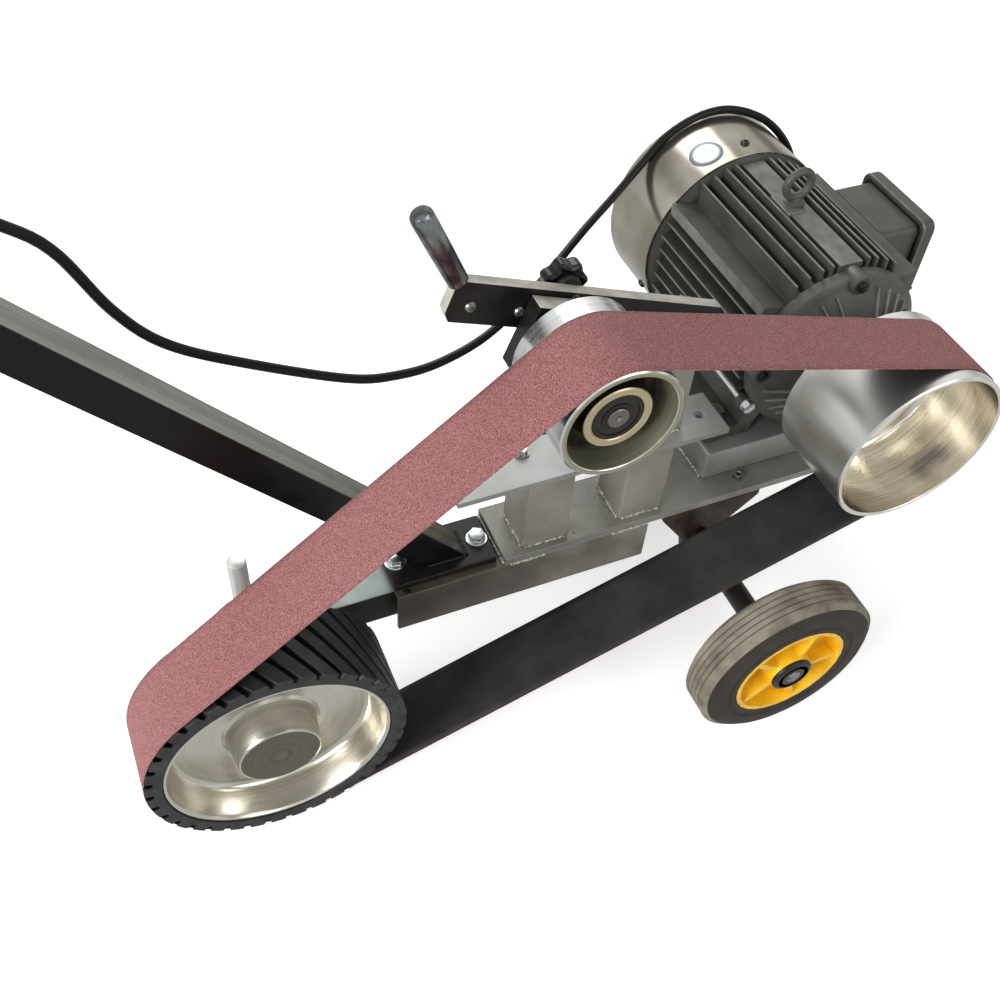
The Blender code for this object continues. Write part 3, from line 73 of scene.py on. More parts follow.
def node(tree, kind, sockets=None, **settings):
    """Add a node to a tree, with its settings and its socket values or links."""
    made = tree.nodes.new("ShaderNode" + kind)
    for key, value in settings.items():
        setattr(made, key, value)
    for key, value in (sockets or {}).items():
        if isinstance(value, bpy.types.NodeSocket):
            tree.links.new(value, made.inputs[key])
        else:
            made.inputs[key].default_value = value
    return made


camera = bpy.data.objects.new("camera", bpy.data.cameras.new("camera"))
camera.data.lens = LENS
camera.data.sensor_width = 36
camera.data.clip_end = 20
turn = Matrix.Rotation(HEADING, 4, "Z") @ Matrix.Rotation(TILT, 4, "X") @ Matrix.Rotation(ROLL, 4, "Z")
camera.matrix_world = Matrix.Translation(at(*CAMERA_PLACE)) @ turn
bpy.context.scene.collection.objects.link(camera)
bpy.context.scene.camera = camera
bpy.context.scene.view_settings.view_transform = "Standard"

world = bpy.data.worlds.new("studio")
world.use_nodes = True
bpy.context.scene.world = world
sky = world.node_tree
sky.nodes.clear()
path = node(sky, "LightPath")
seen = node(sky, "Math", {0: path.outputs["Is Camera Ray"], 1: path.outputs["Is Transmission Ray"]},
            operation="MAXIMUM")
dome = node(sky, "Background", {"Color": linear("#f4f6fa"), "Strength": 0.46})
# Metal mirrors soft bright and dark patches, as it would among lamps and walls.
heading = node(sky, "TexCoord")
turned_sky = node(sky, "Mapping", {"Vector": heading.outputs["Generated"], "Rotation": (0.4, 0.2, 0.9)})
patches_of_sky = node(sky, "TexNoise",
                      {"Vector": turned_sky.outputs[0], "Scale": 2.1, "Detail": 1.5, "Roughness": 0.4})
sky_ramp = node(sky, "ValToRGB", {"Fac": patches_of_sky.outputs["Fac"]})
for stop, place, colour in zip(range(2), (0.40, 0.56), ("#85827b", "#ffffff")):
    sky_ramp.color_ramp.elements[stop].position = place
    sky_ramp.color_ramp.elements[stop].color = linear(colour)
mirrored = node(sky, "Background", {"Color": sky_ramp.outputs[0], "Strength": 1.0})
white = node(sky, "Background", {"Color": (1, 1, 1, 1), "Strength": 1.0})
lit = node(sky, "MixShader", {0: path.outputs["Is Glossy Ray"], 1: dome.outputs[0], 2: mirrored.outputs[0]})
shown = node(sky, "MixShader", {0: seen.outputs[0], 1: lit.outputs[0], 2: white.outputs[0]})
node(sky, "OutputWorld", {"Surface": shown.outputs[0]})


def lamp(name, place, target, size, power, colour="#ffffff"):
    """Square softbox that faces a point."""
    made = bpy.data.objects.new(name, bpy.data.lights.new(name, "AREA"))
    made.data.size = size
    made.data.energy = power
    made.data.color = linear(colour)[:3]
    made.location = place
    made.rotation_euler = (Vector(target) - Vector(place)).to_track_quat("-Z", "Y").to_euler()
    bpy.context.scene.collection.objects.link(made)


lamp("key", (-2.9, -1.1, 1.7), (0, 0, 0.2), 1.6, 112)
lamp("fill", (1.6, -2.4, 2.4), (0.1, 0, 0.2), 2.0, 26)
lamp("rim", (0.6, 2.4, 2.2), (0.2, 0, 0.3), 1.6, 30)

floor_mesh = bpy.data.meshes.new("floor")
grid = bmesh.new()
bmesh.ops.create_grid(grid, x_segments=1, y_segments=1, size=12)
grid.to_mesh(floor_mesh)
grid.free()
ground = bpy.data.objects.new("floor", floor_mesh)
ground.location.z = -0.0005
bpy.context.scene.collection.objects.link(ground)
paint = bpy.data.materials.new("studio_floor")
paint.use_nodes = True
tree = paint.node_tree
tree.nodes.clear()
light_path = node(tree, "LightPath")
matt = node(tree, "BsdfDiffuse", {"Color": linear("#f2f2f2")})
lift = node(tree, "Emission", {"Color": (1, 1, 1, 1), "Strength": 0.5})
bare = node(tree, "AddShader", {0: matt.outputs[0], 1: lift.outputs[0]})
glossy_white = node(tree, "Emission", {"Color": linear("#e9e9e9"), "Strength": 0.8})
either = node(tree, "MixShader",
              {0: light_path.outputs["Is Camera Ray"], 1: matt.outputs[0], 2: bare.outputs[0]})
both = node(tree, "MixShader",
            {0: light_path.outputs["Is Glossy Ray"], 1: either.outputs[0], 2: glossy_white.outputs[0]})
node(tree, "OutputMaterial", {"Surface": both.outputs[0]})
floor_mesh.materials.append(paint)


# ---------------------------------------------------------------- Power cable
# Round PVC-sheathed flex from the terminal box over the fan cowl, hanging free behind the frame and up the
# boom to the switch box. A moulded nylon gland with a ribbed sleeve holds each end.
CABLE_RADIUS = 4.6 * MM
BOOM_ANGLE = radians(49)
BOOM_FOOT = at(217, 153.5, 38.1)
UP_BOOM = Vector((-cos(BOOM_ANGLE), 0, sin(BOOM_ANGLE)))
OFF_BOOM = Vector((sin(BOOM_ANGLE), 0, cos(BOOM_ANGLE)))


def new_material(name, colour, roughness, metallic=0.0, **sockets):
    """Principled material; further sockets are given by their names with underscores."""
    made = bpy.data.materials.new(name)
    made.use_nodes = True
    shader = made.node_tree.nodes["Principled BSDF"]
    shader.inputs["Base Color"].default_value = linear(colour)
    shader.inputs["Roughness"].default_value = roughness
    shader.inputs["Metallic"].default_value = metallic
    for key, value in sockets.items():
        shader.inputs[key.replace("_", " ")].default_value = value
    made.diffuse_color = linear(colour)
    return made


def noise(made, scale, detail=3.0, stretch=(1, 1, 1), roughness=0.5):
    """Noise over the object's own coordinates: scale is swirls to the metre, stretch acts along the axes."""
    tree = made.node_tree
    where = node(tree, "TexCoord")
    mapped = node(tree, "Mapping", {"Vector": where.outputs["Object"], "Scale": stretch})
    pattern = node(tree, "TexNoise", {"Vector": mapped.outputs[0], "Scale": scale, "Detail": detail,
                                      "Roughness": roughness})
    return pattern.outputs["Fac"]


def vary(made, source, colours, spread=(0.35, 0.65)):
    """Blend the base colour between hex colours by a pattern."""
    tree = made.node_tree
    ramp = node(tree, "ValToRGB", {"Fac": source})
    low, high = spread
    steps = len(colours)
    while len(ramp.color_ramp.elements) < steps:
        ramp.color_ramp.elements.new(0.5)
    for i, colour in enumerate(colours):
        ramp.color_ramp.elements[i].position = low + (high - low) * i / (steps - 1)
        ramp.color_ramp.elements[i].color = linear(colour)
    tree.links.new(ramp.outputs[0], tree.nodes["Principled BSDF"].inputs["Base Color"])
    return ramp


def roughen(made, source, low, high):
    """Let a pattern drive the roughness between two values."""
    tree = made.node_tree
    ranged = node(tree, "MapRange",
                  {"Value": source, "From Min": 0.3, "From Max": 0.7, "To Min": low, "To Max": high})
    tree.links.new(ranged.outputs[0], tree.nodes["Principled BSDF"].inputs["Roughness"])


def bump(made, source, depth, strength=1.0):
    """Raise the surface by a pattern; depth is in metres."""
    tree = made.node_tree
    shader = tree.nodes["Principled BSDF"]
    raised = {"Height": source, "Distance": depth, "Strength": strength}
    if shader.inputs["Normal"].is_linked:
        raised["Normal"] = shader.inputs["Normal"].links[0].from_socket
    made_bump = node(tree, "Bump", raised)
    tree.links.new(made_bump.outputs[0], shader.inputs["Normal"])


def up_the_boom(along, out=0.0, y=153.5):
    """Point along the boom from its foot, out from its centreline; all in millimetres."""
    start = Vector((BOOM_FOOT.x, DATUM.y + y * MM, BOOM_FOOT.z))
    return start + UP_BOOM * along * MM + OFF_BOOM * out * MM


def smooth_route(points, spacing):
    """Evenly spaced points on a smooth curve through the given ones."""
    points = [Vector(p) for p in points]
    ends = [2 * points[0] - points[1]] + points + [2 * points[-1] - points[-2]]
    fine = []
    for a, b, c, d in zip(ends, ends[1:], ends[2:], ends[3:]):
        for i in range(24):
            t = i / 24
            fine.append(0.5 * ((2 * b) + (c - a) * t + (2 * a - 5 * b + 4 * c - d) * t * t
                               + (3 * b - a - 3 * c + d) * t ** 3))
    fine.append(points[-1])
    route, left = [fine[0]], spacing
    for a, b in zip(fine, fine[1:]):
        step = (b - a).length
        while step > left:
            a = a + (b - a) * (left / step)
            route.append(a)
            step -= left
            left = spacing
        left -= step
    if (route[-1] - fine[-1]).length < spacing / 2:
        route.pop()
    return route + [fine[-1]]


def keep(obj, body, slot, *replaced):
    """Link a piece, let it ride on its body and stand for CAD nodes."""
    bpy.context.scene.collection.objects.link(obj)
    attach(obj, body)
    if replaced:
        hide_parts(*replaced)
    return obj


def wires(name, lines, radius, material, resolution=3, closed=False):
    """Curve object of round wires along lists of points; a radius list gives each point its own size."""
    curve = bpy.data.curves.new(name, "CURVE")
    curve.dimensions = "3D"
    curve.bevel_depth = radius
    curve.bevel_resolution = resolution
    curve.use_fill_caps = True
    for line in lines:
        spline = curve.splines.new("POLY")
        spline.points.add(len(line) - 1)
        for point, value in zip(spline.points, line):
            point.co = (*value[:3], 1)
            point.radius = value[3] if len(value) > 3 else 1.0
        spline.use_cyclic_u = closed
        spline.use_smooth = True
    curve.materials.append(material)
    return bpy.data.objects.new(name, curve)


def smooth(mesh, angle=35):
    """Shade smoothly, with edges past an angle kept sharp."""
    mesh.shade_smooth()
    mesh.set_sharp_from_angle(angle=radians(angle))


def in_mm(points):
    """Profile points given in millimetres."""
    return [(across * MM, along * MM) for across, along in points]


def bead_edges(obj, width, segments=2, angle=30):
    """Round every edge sharper than an angle."""
    rounded = obj.modifiers.new("rounding", "BEVEL")
    rounded.width = width
    rounded.segments = segments
    rounded.angle_limit = radians(angle)
    rounded.harden_normals = True


def from_bmesh(bm, name, materials, angle=35):
    """Object from a bmesh, with one material or a list of them."""
    mesh = bpy.data.meshes.new(name)
    bm.to_mesh(mesh)
    bm.free()
    for material in materials if isinstance(materials, (list, tuple)) else [materials]:
        mesh.materials.append(material)
    smooth(mesh, angle)
    return bpy.data.objects.new(name, mesh)


def turned(name, profile, origin, axis, material, steps=96, start=0.0, angle=35):
    """Turn a profile of (radius, distance along the axis) in metres about a line."""
    bm = bmesh.new()
    verts = [bm.verts.new((r, 0, h)) for r, h in profile]
    edges = [bm.edges.new(pair) for pair in zip(verts, verts[1:])]
    if profile[0][0] > 0 and profile[-1][0] > 0:
        edges.append(bm.edges.new((verts[-1], verts[0])))
    bmesh.ops.spin(bm, geom=verts + edges, cent=(0, 0, 0), axis=UPWARDS, angle=2 * pi, steps=steps,
                   use_merge=True)
    bmesh.ops.remove_doubles(bm, verts=bm.verts, dist=0.000005)
    bmesh.ops.recalc_face_normals(bm, faces=bm.faces)
    quaternion = Vector(axis).normalized().to_track_quat("Z", "Y")
    bmesh.ops.transform(bm, matrix=Matrix.Translation(origin) @ quaternion.to_matrix().to_4x4()
                        @ Matrix.Rotation(start, 4, "Z"), verts=bm.verts)
    return from_bmesh(bm, name, material, angle)


def prism(name, sides, radius, low, high, origin, axis, material, bevel=0.4 * MM, start=0.0):
    """Bar with a regular outline, such as a hexagon, along an axis."""
    bm = bmesh.new()
    bmesh.ops.create_cone(bm, cap_ends=True, segments=sides, radius1=radius, radius2=radius, depth=high - low)
    bmesh.ops.translate(bm, vec=(0, 0, (low + high) / 2), verts=bm.verts)
    quaternion = Vector(axis).normalized().to_track_quat("Z", "Y")
    bmesh.ops.transform(bm, matrix=Matrix.Translation(origin) @ quaternion.to_matrix().to_4x4()
                        @ Matrix.Rotation(start, 4, "Z"), verts=bm.verts)
    obj = from_bmesh(bm, name, material)
    if bevel:
        bead_edges(obj, bevel)
    return obj


# Extruded PVC: black, with a soft and slightly uneven gleam along the cable.
cable_pvc = new_material("pvc_cable_sheath", "#0d0d0c", 0.34, Specular_IOR_Level=0.25)
bump(cable_pvc, noise(cable_pvc, 900, 2), 0.00005)
cable_start = at(781.65, 348.3, 183)
cable_end = up_the_boom(709.7, 42.3)
MOTOR_X, MOTOR_Z = 656, 191.4
COWL_RADIUS = 113 * MM
OVER_COWL = COWL_RADIUS + 0.3 * MM + CABLE_RADIUS + 1.2 * MM
around_cowl = [at(MOTOR_X, y, MOTOR_Z) + Vector((cos(radians(a)), 0, sin(radians(a)))) * OVER_COWL
               for a, y in ((14, 408), (35, 420), (57, 428), (80, 434), (100, 434), (120, 431), (138, 426))]
cable_route = smooth_route([cable_start, cable_start + Vector((0, 16, 0)) * MM,
                            cable_start + Vector((0, 36, 4)) * MM,
                            cable_start + Vector((-3, 51, 16.5)) * MM] + around_cowl + [
                            at(519, 405, 244), at(472, 380, 227), at(394, 325, 214), at(318, 278, 205),
                            at(253, 250, 208), at(200, 234, 220), at(147, 222, 243), at(49, 205, 307),
                            at(-9, 196, 352), at(-42, 194, 396), at(-71, 190, 460), at(-100, 184, 494),
                            cable_end - UP_BOOM * 90 * MM + Vector((0, 12, 12)) * MM,
                            cable_end - UP_BOOM * 34 * MM, cable_end], 9 * MM)
cable = keep(wires("power_cable_flex", [cable_route], CABLE_RADIUS, cable_pvc, 4), "root", "cable_sheath",
             "power_cable")

# Moulded nylon: dark, with a fine matt grain.
nylon = new_material("moulded_nylon", "#161617", 0.42, Specular_IOR_Level=0.4)
bump(nylon, noise(nylon, 1200, 2), 0.00004)
for name, tip, outward in (("terminal_gland", cable_start, Vector(TO_REAR)),
                           ("switch_gland", cable_end, -UP_BOOM)):
    sleeve = [(5.0, 26), (5.6, 26)]
    for rib in range(5):
        sleeve += [(6.0 + rib * 0.3, 24.5 - rib * 4), (6.0 + rib * 0.3, 22.5 - rib * 4),
                   (5.2 + rib * 0.3, 22 - rib * 4),
                   (5.3 + rib * 0.3, 21 - rib * 4)]
    sleeve += [(8.2, 1), (10.2, -3), (10.8, -6), (10.8, -8), (4.95, -8)]
    sleeve_piece = turned(name + "_sleeve", in_mm(sleeve), tip, outward, nylon, 40)
    keep(sleeve_piece, "root", "black_plastic")
    nut = prism(name + "_nut", 6, 10.9 * MM, -16 * MM, -8.2 * MM, tip, outward, nylon, 0.6 * MM)
    keep(nut, "root", "black_plastic")


# ---------------------------------------------------------------- Sanding belt
# Endless cloth belt with coarse brown aluminium oxide grit bonded to its outer face. The woven backing is
# black and faces the wheels, and the slit edges are slightly frayed.
BELT_THICK = 1.0 * MM
belt_low, belt_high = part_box("sanding_belt")
tension_low, tension_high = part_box("tension_wheel")
drive_low, drive_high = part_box("drive_wheel")
TENSION = ((tension_low[0] + tension_high[0]) / 2, (tension_low[2] + tension_high[2]) / 2)
DRIVE = ((drive_low[0] + drive_high[0]) / 2, (drive_low[2] + drive_high[2]) / 2)
CONTACT_RADIUS = (drum_high[2] - drum_low[2]) / 2
TENSION_RADIUS = (tension_high[2] - tension_low[2]) / 2
DRIVE_RADIUS = (drive_high[2] - drive_low[2]) / 2


def belt_line(offset, arc_step=radians(2.5), run_step=12 * MM):
    """Points around the three wheels, the given distance off their faces, with the runs divided too."""
    wheels = [((DATUM.x, DATUM.z), CONTACT_RADIUS), (TENSION, TENSION_RADIUS), (DRIVE, DRIVE_RADIUS)]
    normals = []
    for i in range(3):
        (ax, az), ar = wheels[i]
        (bx, bz), br = wheels[(i + 1) % 3]
        normals.append(atan2(bz - az, bx - ax) + acos((ar - br) / hypot(bx - ax, bz - az)))
    points = []
    for i in range(3):
        begin, end = normals[i - 1], normals[i]
        while end > begin:
            end -= 2 * pi
        (x, z), radius = wheels[i][0], wheels[i][1] + offset
        count = int((begin - end) / arc_step)
        arc = [(x + radius * cos(begin + (end - begin) * k / count),
                z + radius * sin(begin + (end - begin) * k / count))
               for k in range(count + 1)]
        if points:
            points += divided(points[-1], arc[0], run_step)
        points += arc
    return points + divided(points[-1], points[0], run_step)


def divided(a, b, step):
    """Points between two ends, about a step apart and without the ends."""
    count = int(hypot(b[0] - a[0], b[1] - a[1]) / step)
    return [(a[0] + (b[0] - a[0]) * k / count, a[1] + (b[1] - a[1]) * k / count) for k in range(1, count)]


# Aluminium oxide cloth: dry reddish brown grains with darker gaps between them.
grit = new_material("aluminium_oxide_cloth", "#a5716e", 0.9, IOR=1.6)
# Grains are about 0.5 mm; they are drawn about 1.1 mm across so that they show.
grains = noise(grit, 900, 2, roughness=0.6)
vary(grit, grains, ("#663b3c", "#925d5b", "#b67e7b"), (0.34, 0.68))
bump(grit, grains, 0.0006)
patches = noise(grit, 9, 2)
roughen(grit, patches, 0.8, 0.95)
# Latex-filled cotton: near black and dull. Its weave is drawn at about 0.7 mm so that it shows.
backing = new_material("latex_filled_cotton", "#1c1d1e", 0.62, IOR=1.5)
weave = noise(backing, 1500, 1)
vary(backing, noise(backing, 30, 4), ("#121313", "#232424"))
bump(backing, weave, 0.00012)

loop_points = belt_line(0.3 * MM + BELT_THICK)
bm = bmesh.new()
ring = [bm.verts.new((x, belt_low[1], z)) for x, z in loop_points]
ring_edges = [bm.edges.new((ring[i], ring[(i + 1) % len(ring)])) for i in range(len(ring))]
BELT_STRIPS = 10
for _ in range(BELT_STRIPS):
    grown = bmesh.ops.extrude_edge_only(bm, edges=ring_edges)["geom"]
    bmesh.ops.translate(bm, vec=(0, (belt_high[1] - belt_low[1]) / BELT_STRIPS, 0),
                        verts=[g for g in grown if isinstance(g, bmesh.types.BMVert)])
    ring_edges = [g for g in grown if isinstance(g, bmesh.types.BMEdge)]
bmesh.ops.recalc_face_normals(bm, faces=bm.faces)
centre_of_loop = Vector(((TENSION[0] + DATUM.x) / 2, 0, DATUM.z))
outward_faces = sum(f.normal.dot(f.calc_center_median() - centre_of_loop) > 0 for f in bm.faces)
if outward_faces < len(bm.faces) / 2:
    bmesh.ops.reverse_faces(bm, faces=bm.faces)
belt = from_bmesh(bm, "abrasive_belt", [grit, backing], 60)
shell = belt.modifiers.new("thickness", "SOLIDIFY")
shell.thickness = BELT_THICK
shell.offset = -1
shell.material_offset = 1
shell.material_offset_rim = 0
keep(belt, "root", "abrasive_cloth", "sanding_belt")

# Loose warp threads along both slit edges.
# Bare cotton: pale and dull.
thread = new_material("cotton_thread", "#cfc4ba", 0.85)
frays = []
for _ in range(150):
    x, z = random.choice(loop_points)
    edge, side = random.choice(((belt_low[1], -1), (belt_low[1], -1), (belt_high[1], 1)))
    reach = random.uniform(0.5, 1.6) * MM
    lean = random.uniform(-2, 2) * MM
    frays.append([(x, edge, z, 1), (x + lean * 0.6, edge + side * reach * 0.7, z + lean * 0.2, 0.8),
                  (x + lean, edge + side * reach, z + lean * 0.5, 0.4)])
keep(wires("belt_edge_threads", frays, 0.14 * MM, thread, 0), "root", "abrasive_cloth")


# ---------------------------------------------------------------- Contact drum
# A turned aluminium dish on a sealed bearing, with a vulcanised rubber tyre. The tread is cut into slanted
# lugs so that the belt runs cooler and cuts harder. The hub is closed towards the operator.
CONTACT_WIDTH = drum_high[1] - drum_low[1]
LUGS, TWIST, GROOVE = 36, radians(26), 7 * MM
WHEEL_STEPS = 144

# Vulcanised rubber: near black, with dull and rubbed patches.
rubber = new_material("vulcanised_rubber", "#141515", 0.52, IOR=1.52)
vary(rubber, noise(rubber, 25, 5), ("#0e0f0f", "#1f2020"))
roughen(rubber, noise(rubber, 60, 4), 0.38, 0.66)
bump(rubber, noise(rubber, 1400, 2), 0.00012)

pitch = 2 * pi / LUGS
shares = ((0.0, 0), (0.34, 0), (0.68, 0), (0.72, 1), (0.84, 1), (0.96, 1))
bm = bmesh.new()
outline = []
for lug in range(LUGS):
    for share, deep in shares:
        radius = CONTACT_RADIUS - deep * GROOVE
        angle = (lug + share) * pitch
        outline.append(bm.verts.new((DATUM.x + radius * cos(angle), drum_low[1],
                                     DATUM.z + radius * sin(angle))))
bore = bmesh.ops.create_circle(bm, segments=120, radius=CONTACT_RADIUS - 15.5 * MM)["verts"]
bmesh.ops.transform(bm,
                    matrix=Matrix.Translation((DATUM.x, drum_low[1], DATUM.z))
                    @ Matrix.Rotation(pi / 2, 4, "X"),
                    verts=bore)
tread_edges = [bm.edges.new((outline[i], outline[(i + 1) % len(outline)])) for i in range(len(outline))]
bore_edges = list({e for v in bore for e in v.link_edges})
bmesh.ops.triangle_fill(bm, edges=tread_edges + bore_edges, use_beauty=True)
TREAD_SLABS = 10
for _ in range(TREAD_SLABS):
    grown = bmesh.ops.extrude_edge_only(bm, edges=tread_edges + bore_edges)["geom"]
    moved = [g for g in grown if isinstance(g, bmesh.types.BMVert)]
    bmesh.ops.translate(bm, vec=(0, CONTACT_WIDTH / TREAD_SLABS, 0), verts=moved)
    bmesh.ops.rotate(bm, cent=(DATUM.x, 0, DATUM.z), matrix=Matrix.Rotation(-TWIST / TREAD_SLABS, 3, "Y"),
                     verts=moved)
    tread_edges = [g for g in grown if isinstance(g, bmesh.types.BMEdge)]
    bore_edges = []
bmesh.ops.triangle_fill(bm, edges=tread_edges, use_beauty=True)
bmesh.ops.recalc_face_normals(bm, faces=bm.faces)
tread = from_bmesh(bm, "contact_drum_tread", rubber, 30)
bead_edges(tread, 0.7 * MM, 2, 40)
keep(tread, "contact_spin", "drum_rubber", "contact_tyre")


def paint_faces(obj, index, test):
    """Give the faces whose centre and normal pass a test another material slot."""
    for face in obj.data.polygons:
        if test(face.center, face.normal):
            face.material_index = index


def radius_from(centre, point):
    """Distance of a point from an axis along Y."""
    return hypot(point.x - centre[0], point.z - centre[1])


def turning_marks(made, centre, spacing, depth, light, dark):
    """Fine concentric tool marks around a wheel axis that runs along Y."""
    tree = made.node_tree
    where = node(tree, "TexCoord")
    mapped = node(tree, "Mapping",
                  {"Vector": where.outputs["Object"], "Location": (-centre[0], 0, -centre[1])})
    split = node(tree, "SeparateXYZ", {"Vector": mapped.outputs[0]})
    flat = node(tree, "CombineXYZ", {"X": split.outputs["X"], "Z": split.outputs["Z"]})
    radius = node(tree, "VectorMath", {0: flat.outputs[0]}, operation="LENGTH")
    line = node(tree, "CombineXYZ", {"X": radius.outputs["Value"], "Y": split.outputs["Y"]})
    rings = node(tree, "TexNoise",
                 {"Vector": line.outputs[0], "Scale": 1 / spacing, "Detail": 3.0, "Roughness": 0.6})
    vary(made, rings.outputs["Fac"], (dark, light), (0.3, 0.7))
    bump(made, rings.outputs["Fac"], depth)
    return rings.outputs["Fac"]


# Turned aluminium: bright and smooth, with very faint rings from the lathe.
turned_aluminium = new_material("turned_aluminium", "#c9c7bf", 0.3, 1.0)
marks = turning_marks(turned_aluminium, (DATUM.x, DATUM.z), 4 * MM, 0.000007, "#d4d1c7", "#c8c4b8")
roughen(turned_aluminium, marks, 0.2, 0.27)
RIM = CONTACT_RADIUS - 16 * MM
FRONT, REAR, WEB = 1.5 * MM, CONTACT_WIDTH - 1 * MM, 36 * MM
dish = [(0, 20 * MM), (23.8 * MM, 20 * MM), (23.8 * MM, REAR), (36 * MM, REAR), (38 * MM, WEB + 9 * MM),
        (RIM - 10 * MM, WEB + 9 * MM), (RIM - 5 * MM, REAR), (RIM, REAR), (RIM, FRONT + 0.6 * MM),
        (RIM - 0.6 * MM, FRONT), (RIM - 3 * MM, FRONT), (RIM - 3.6 * MM, FRONT + 0.6 * MM),
        (RIM - 5 * MM, FRONT + 4 * MM)]
for step in range(1, 9):
    share = step / 8
    dish.append((RIM - 9 * MM - 7 * MM * (1 - cos(share * pi / 2)),
                 WEB - 10 * MM + 10 * MM * sin(share * pi / 2)))
dish += [(52 * MM, WEB), (48 * MM, WEB - 0.6 * MM), (45 * MM, WEB - 3 * MM), (43.5 * MM, WEB - 7 * MM),
         (40.2 * MM, FRONT + 2.5 * MM), (39.4 * MM, FRONT + 0.8 * MM), (38 * MM, FRONT), (0, FRONT)]
hub = turned("contact_drum_dish", dish, (DATUM.x, drum_low[1], DATUM.z), TO_REAR, turned_aluminium,
             WHEEL_STEPS, 0, 28)
# Dulled aluminium: browner and darker than the dish around it.
hub_face = new_material("dulled_hub_face", "#6b675a", 0.26, 0.9)
turning_marks(hub_face, (DATUM.x, DATUM.z), 3 * MM, 0.000008, "#716d5e", "#5b574c")
hub.data.materials.append(hub_face)
paint_faces(hub, 1, lambda c, n: radius_from((DATUM.x, DATUM.z), c) < 38.5 * MM and n.y < -0.9)
keep(hub, "contact_spin", "machined_aluminium", "contact_wheel")

# Ground steel: bright and even.
bearing_steel = new_material("ground_bearing_steel", "#b9b8b3", 0.22, 1.0)
# Nitrile rubber: flat black. The same black serves as the painted shade in the hexagon sockets of cap screws.
seal_rubber_and_socket_shade = new_material("nitrile_seal_and_socket_shade", "#111111", 0.55)
# Bright zinc plate: bluish white, with a cloudy gleam.
zinc = new_material("bright_zinc_plate", "#dce0e1", 0.28, 1.0)
roughen(zinc, noise(zinc, 180, 3), 0.22, 0.42)


def dress(material, *nodes):
    """Give CAD nodes that stay visible their material."""
    for name in nodes:
        held = bpy.data.objects[name].data.materials
        held.clear()
        held.append(material)


def sealed_bearing(name, node_name, centre, body, ring_look):
    """Outer ring, inner ring and two rubber seals in place of a CAD bearing."""
    low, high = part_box(node_name)
    near, far = low[1], high[1]
    outer = (high[0] - low[0]) / 2
    bore, shoulder, race = 10.3 * MM, 14.2 * MM, outer - 3.6 * MM
    middle = (centre[0], 0, centre[1])
    for part, profile, look in (
            ("outer_ring", [(race, far), (outer - 0.5 * MM, far), (outer, far - 0.5 * MM),
                            (outer, near + 0.5 * MM),
                            (outer - 0.5 * MM, near), (race, near)], ring_look),
            ("inner_ring", [(bore, far - 0.4 * MM), (bore + 0.4 * MM, far), (shoulder, far), (shoulder, near),
                            (bore + 0.4 * MM, near), (bore, near + 0.4 * MM)], ring_look),
            ("seals", [(shoulder - 0.1 * MM, far - 0.8 * MM), (shoulder + 2 * MM, far - 0.5 * MM),
                       (race + 0.1 * MM, far - 0.9 * MM), (race + 0.1 * MM, near + 0.9 * MM),
                       (shoulder + 2 * MM, near + 0.5 * MM), (shoulder - 0.1 * MM, near + 0.8 * MM)],
             seal_rubber_and_socket_shade)):
        piece = turned(name + "_" + part, profile, middle, TO_REAR, look, 72)
        keep(piece, body, "bearing_steel", *([node_name] if part == "outer_ring" else []))


sealed_bearing("contact", "contact_bearing", (DATUM.x, DATUM.z), "contact_spin", bearing_steel)
axle_low, axle_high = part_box("contact_axle")
axle_tail, axle_nose = axle_high[1], axle_low[1]
axle_profile = [(0, axle_tail), (8 * MM, axle_tail), (10 * MM, axle_tail - 2 * MM),
                (10 * MM, DATUM.y + 127.7 * MM),
                (19 * MM, DATUM.y + 127.7 * MM), (20 * MM, DATUM.y + 126.7 * MM),
                (20 * MM, DATUM.y + 87 * MM),
                (19 * MM, DATUM.y + 86 * MM), (10 * MM, DATUM.y + 82 * MM), (10 * MM, axle_nose + 1 * MM),
                (9 * MM, axle_nose), (0, axle_nose)]
contact_stub = turned("contact_axle_turned", axle_profile, (DATUM.x, 0, DATUM.z), TO_REAR, zinc, 64)
keep(contact_stub, "root", "zinc_steel", "contact_axle")


# ---------------------------------------------------------------- Tension wheel
# A small steel drum, ground on its face, over a cast core. It turns on a sealed bearing that a circlip holds
# on the fixed axle.
T_FRONT, T_REAR = tension_low[1], tension_high[1]
T_INNER, T_HUB = TENSION_RADIUS - 6 * MM, 31.5 * MM

# Ground steel: bright, with fine rings that blur what it mirrors.
ground_steel = new_material("ground_steel", "#d5d8d7", 0.2, 1.0)
marks = turning_marks(ground_steel, TENSION, 6 * MM, 0.000003, "#e4e8e8", "#d2d6d4")
roughen(ground_steel, marks, 0.14, 0.34)
# Oiled cast iron: dark brown and grainy.
cast_iron = new_material("oiled_cast_iron", "#2b2822", 0.45, 0.55)
vary(cast_iron, noise(cast_iron, 70, 5), ("#17140f", "#332d24"))
bump(cast_iron, noise(cast_iron, 420, 4), 0.0002)
# Bored cast iron: olive grey, with clear tool marks.
machined_iron = new_material("machined_recess_wall", "#a5a38a", 0.34, 0.75)
turning_marks(machined_iron, TENSION, 1.8 * MM, 0.00006, "#b5b39c", "#99967f")
# Faced cast iron: yellowish, with fine tool marks.
faced_iron = new_material("faced_hub_ring", "#c2b493", 0.3, 0.8)
turning_marks(faced_iron, TENSION, 1.2 * MM, 0.00004, "#cdbf9f", "#a89979")
# Oiled steel: dark, with a wet gleam.
oiled_steel = new_material("oiled_bearing_steel", "#37342d", 0.3, 0.85)

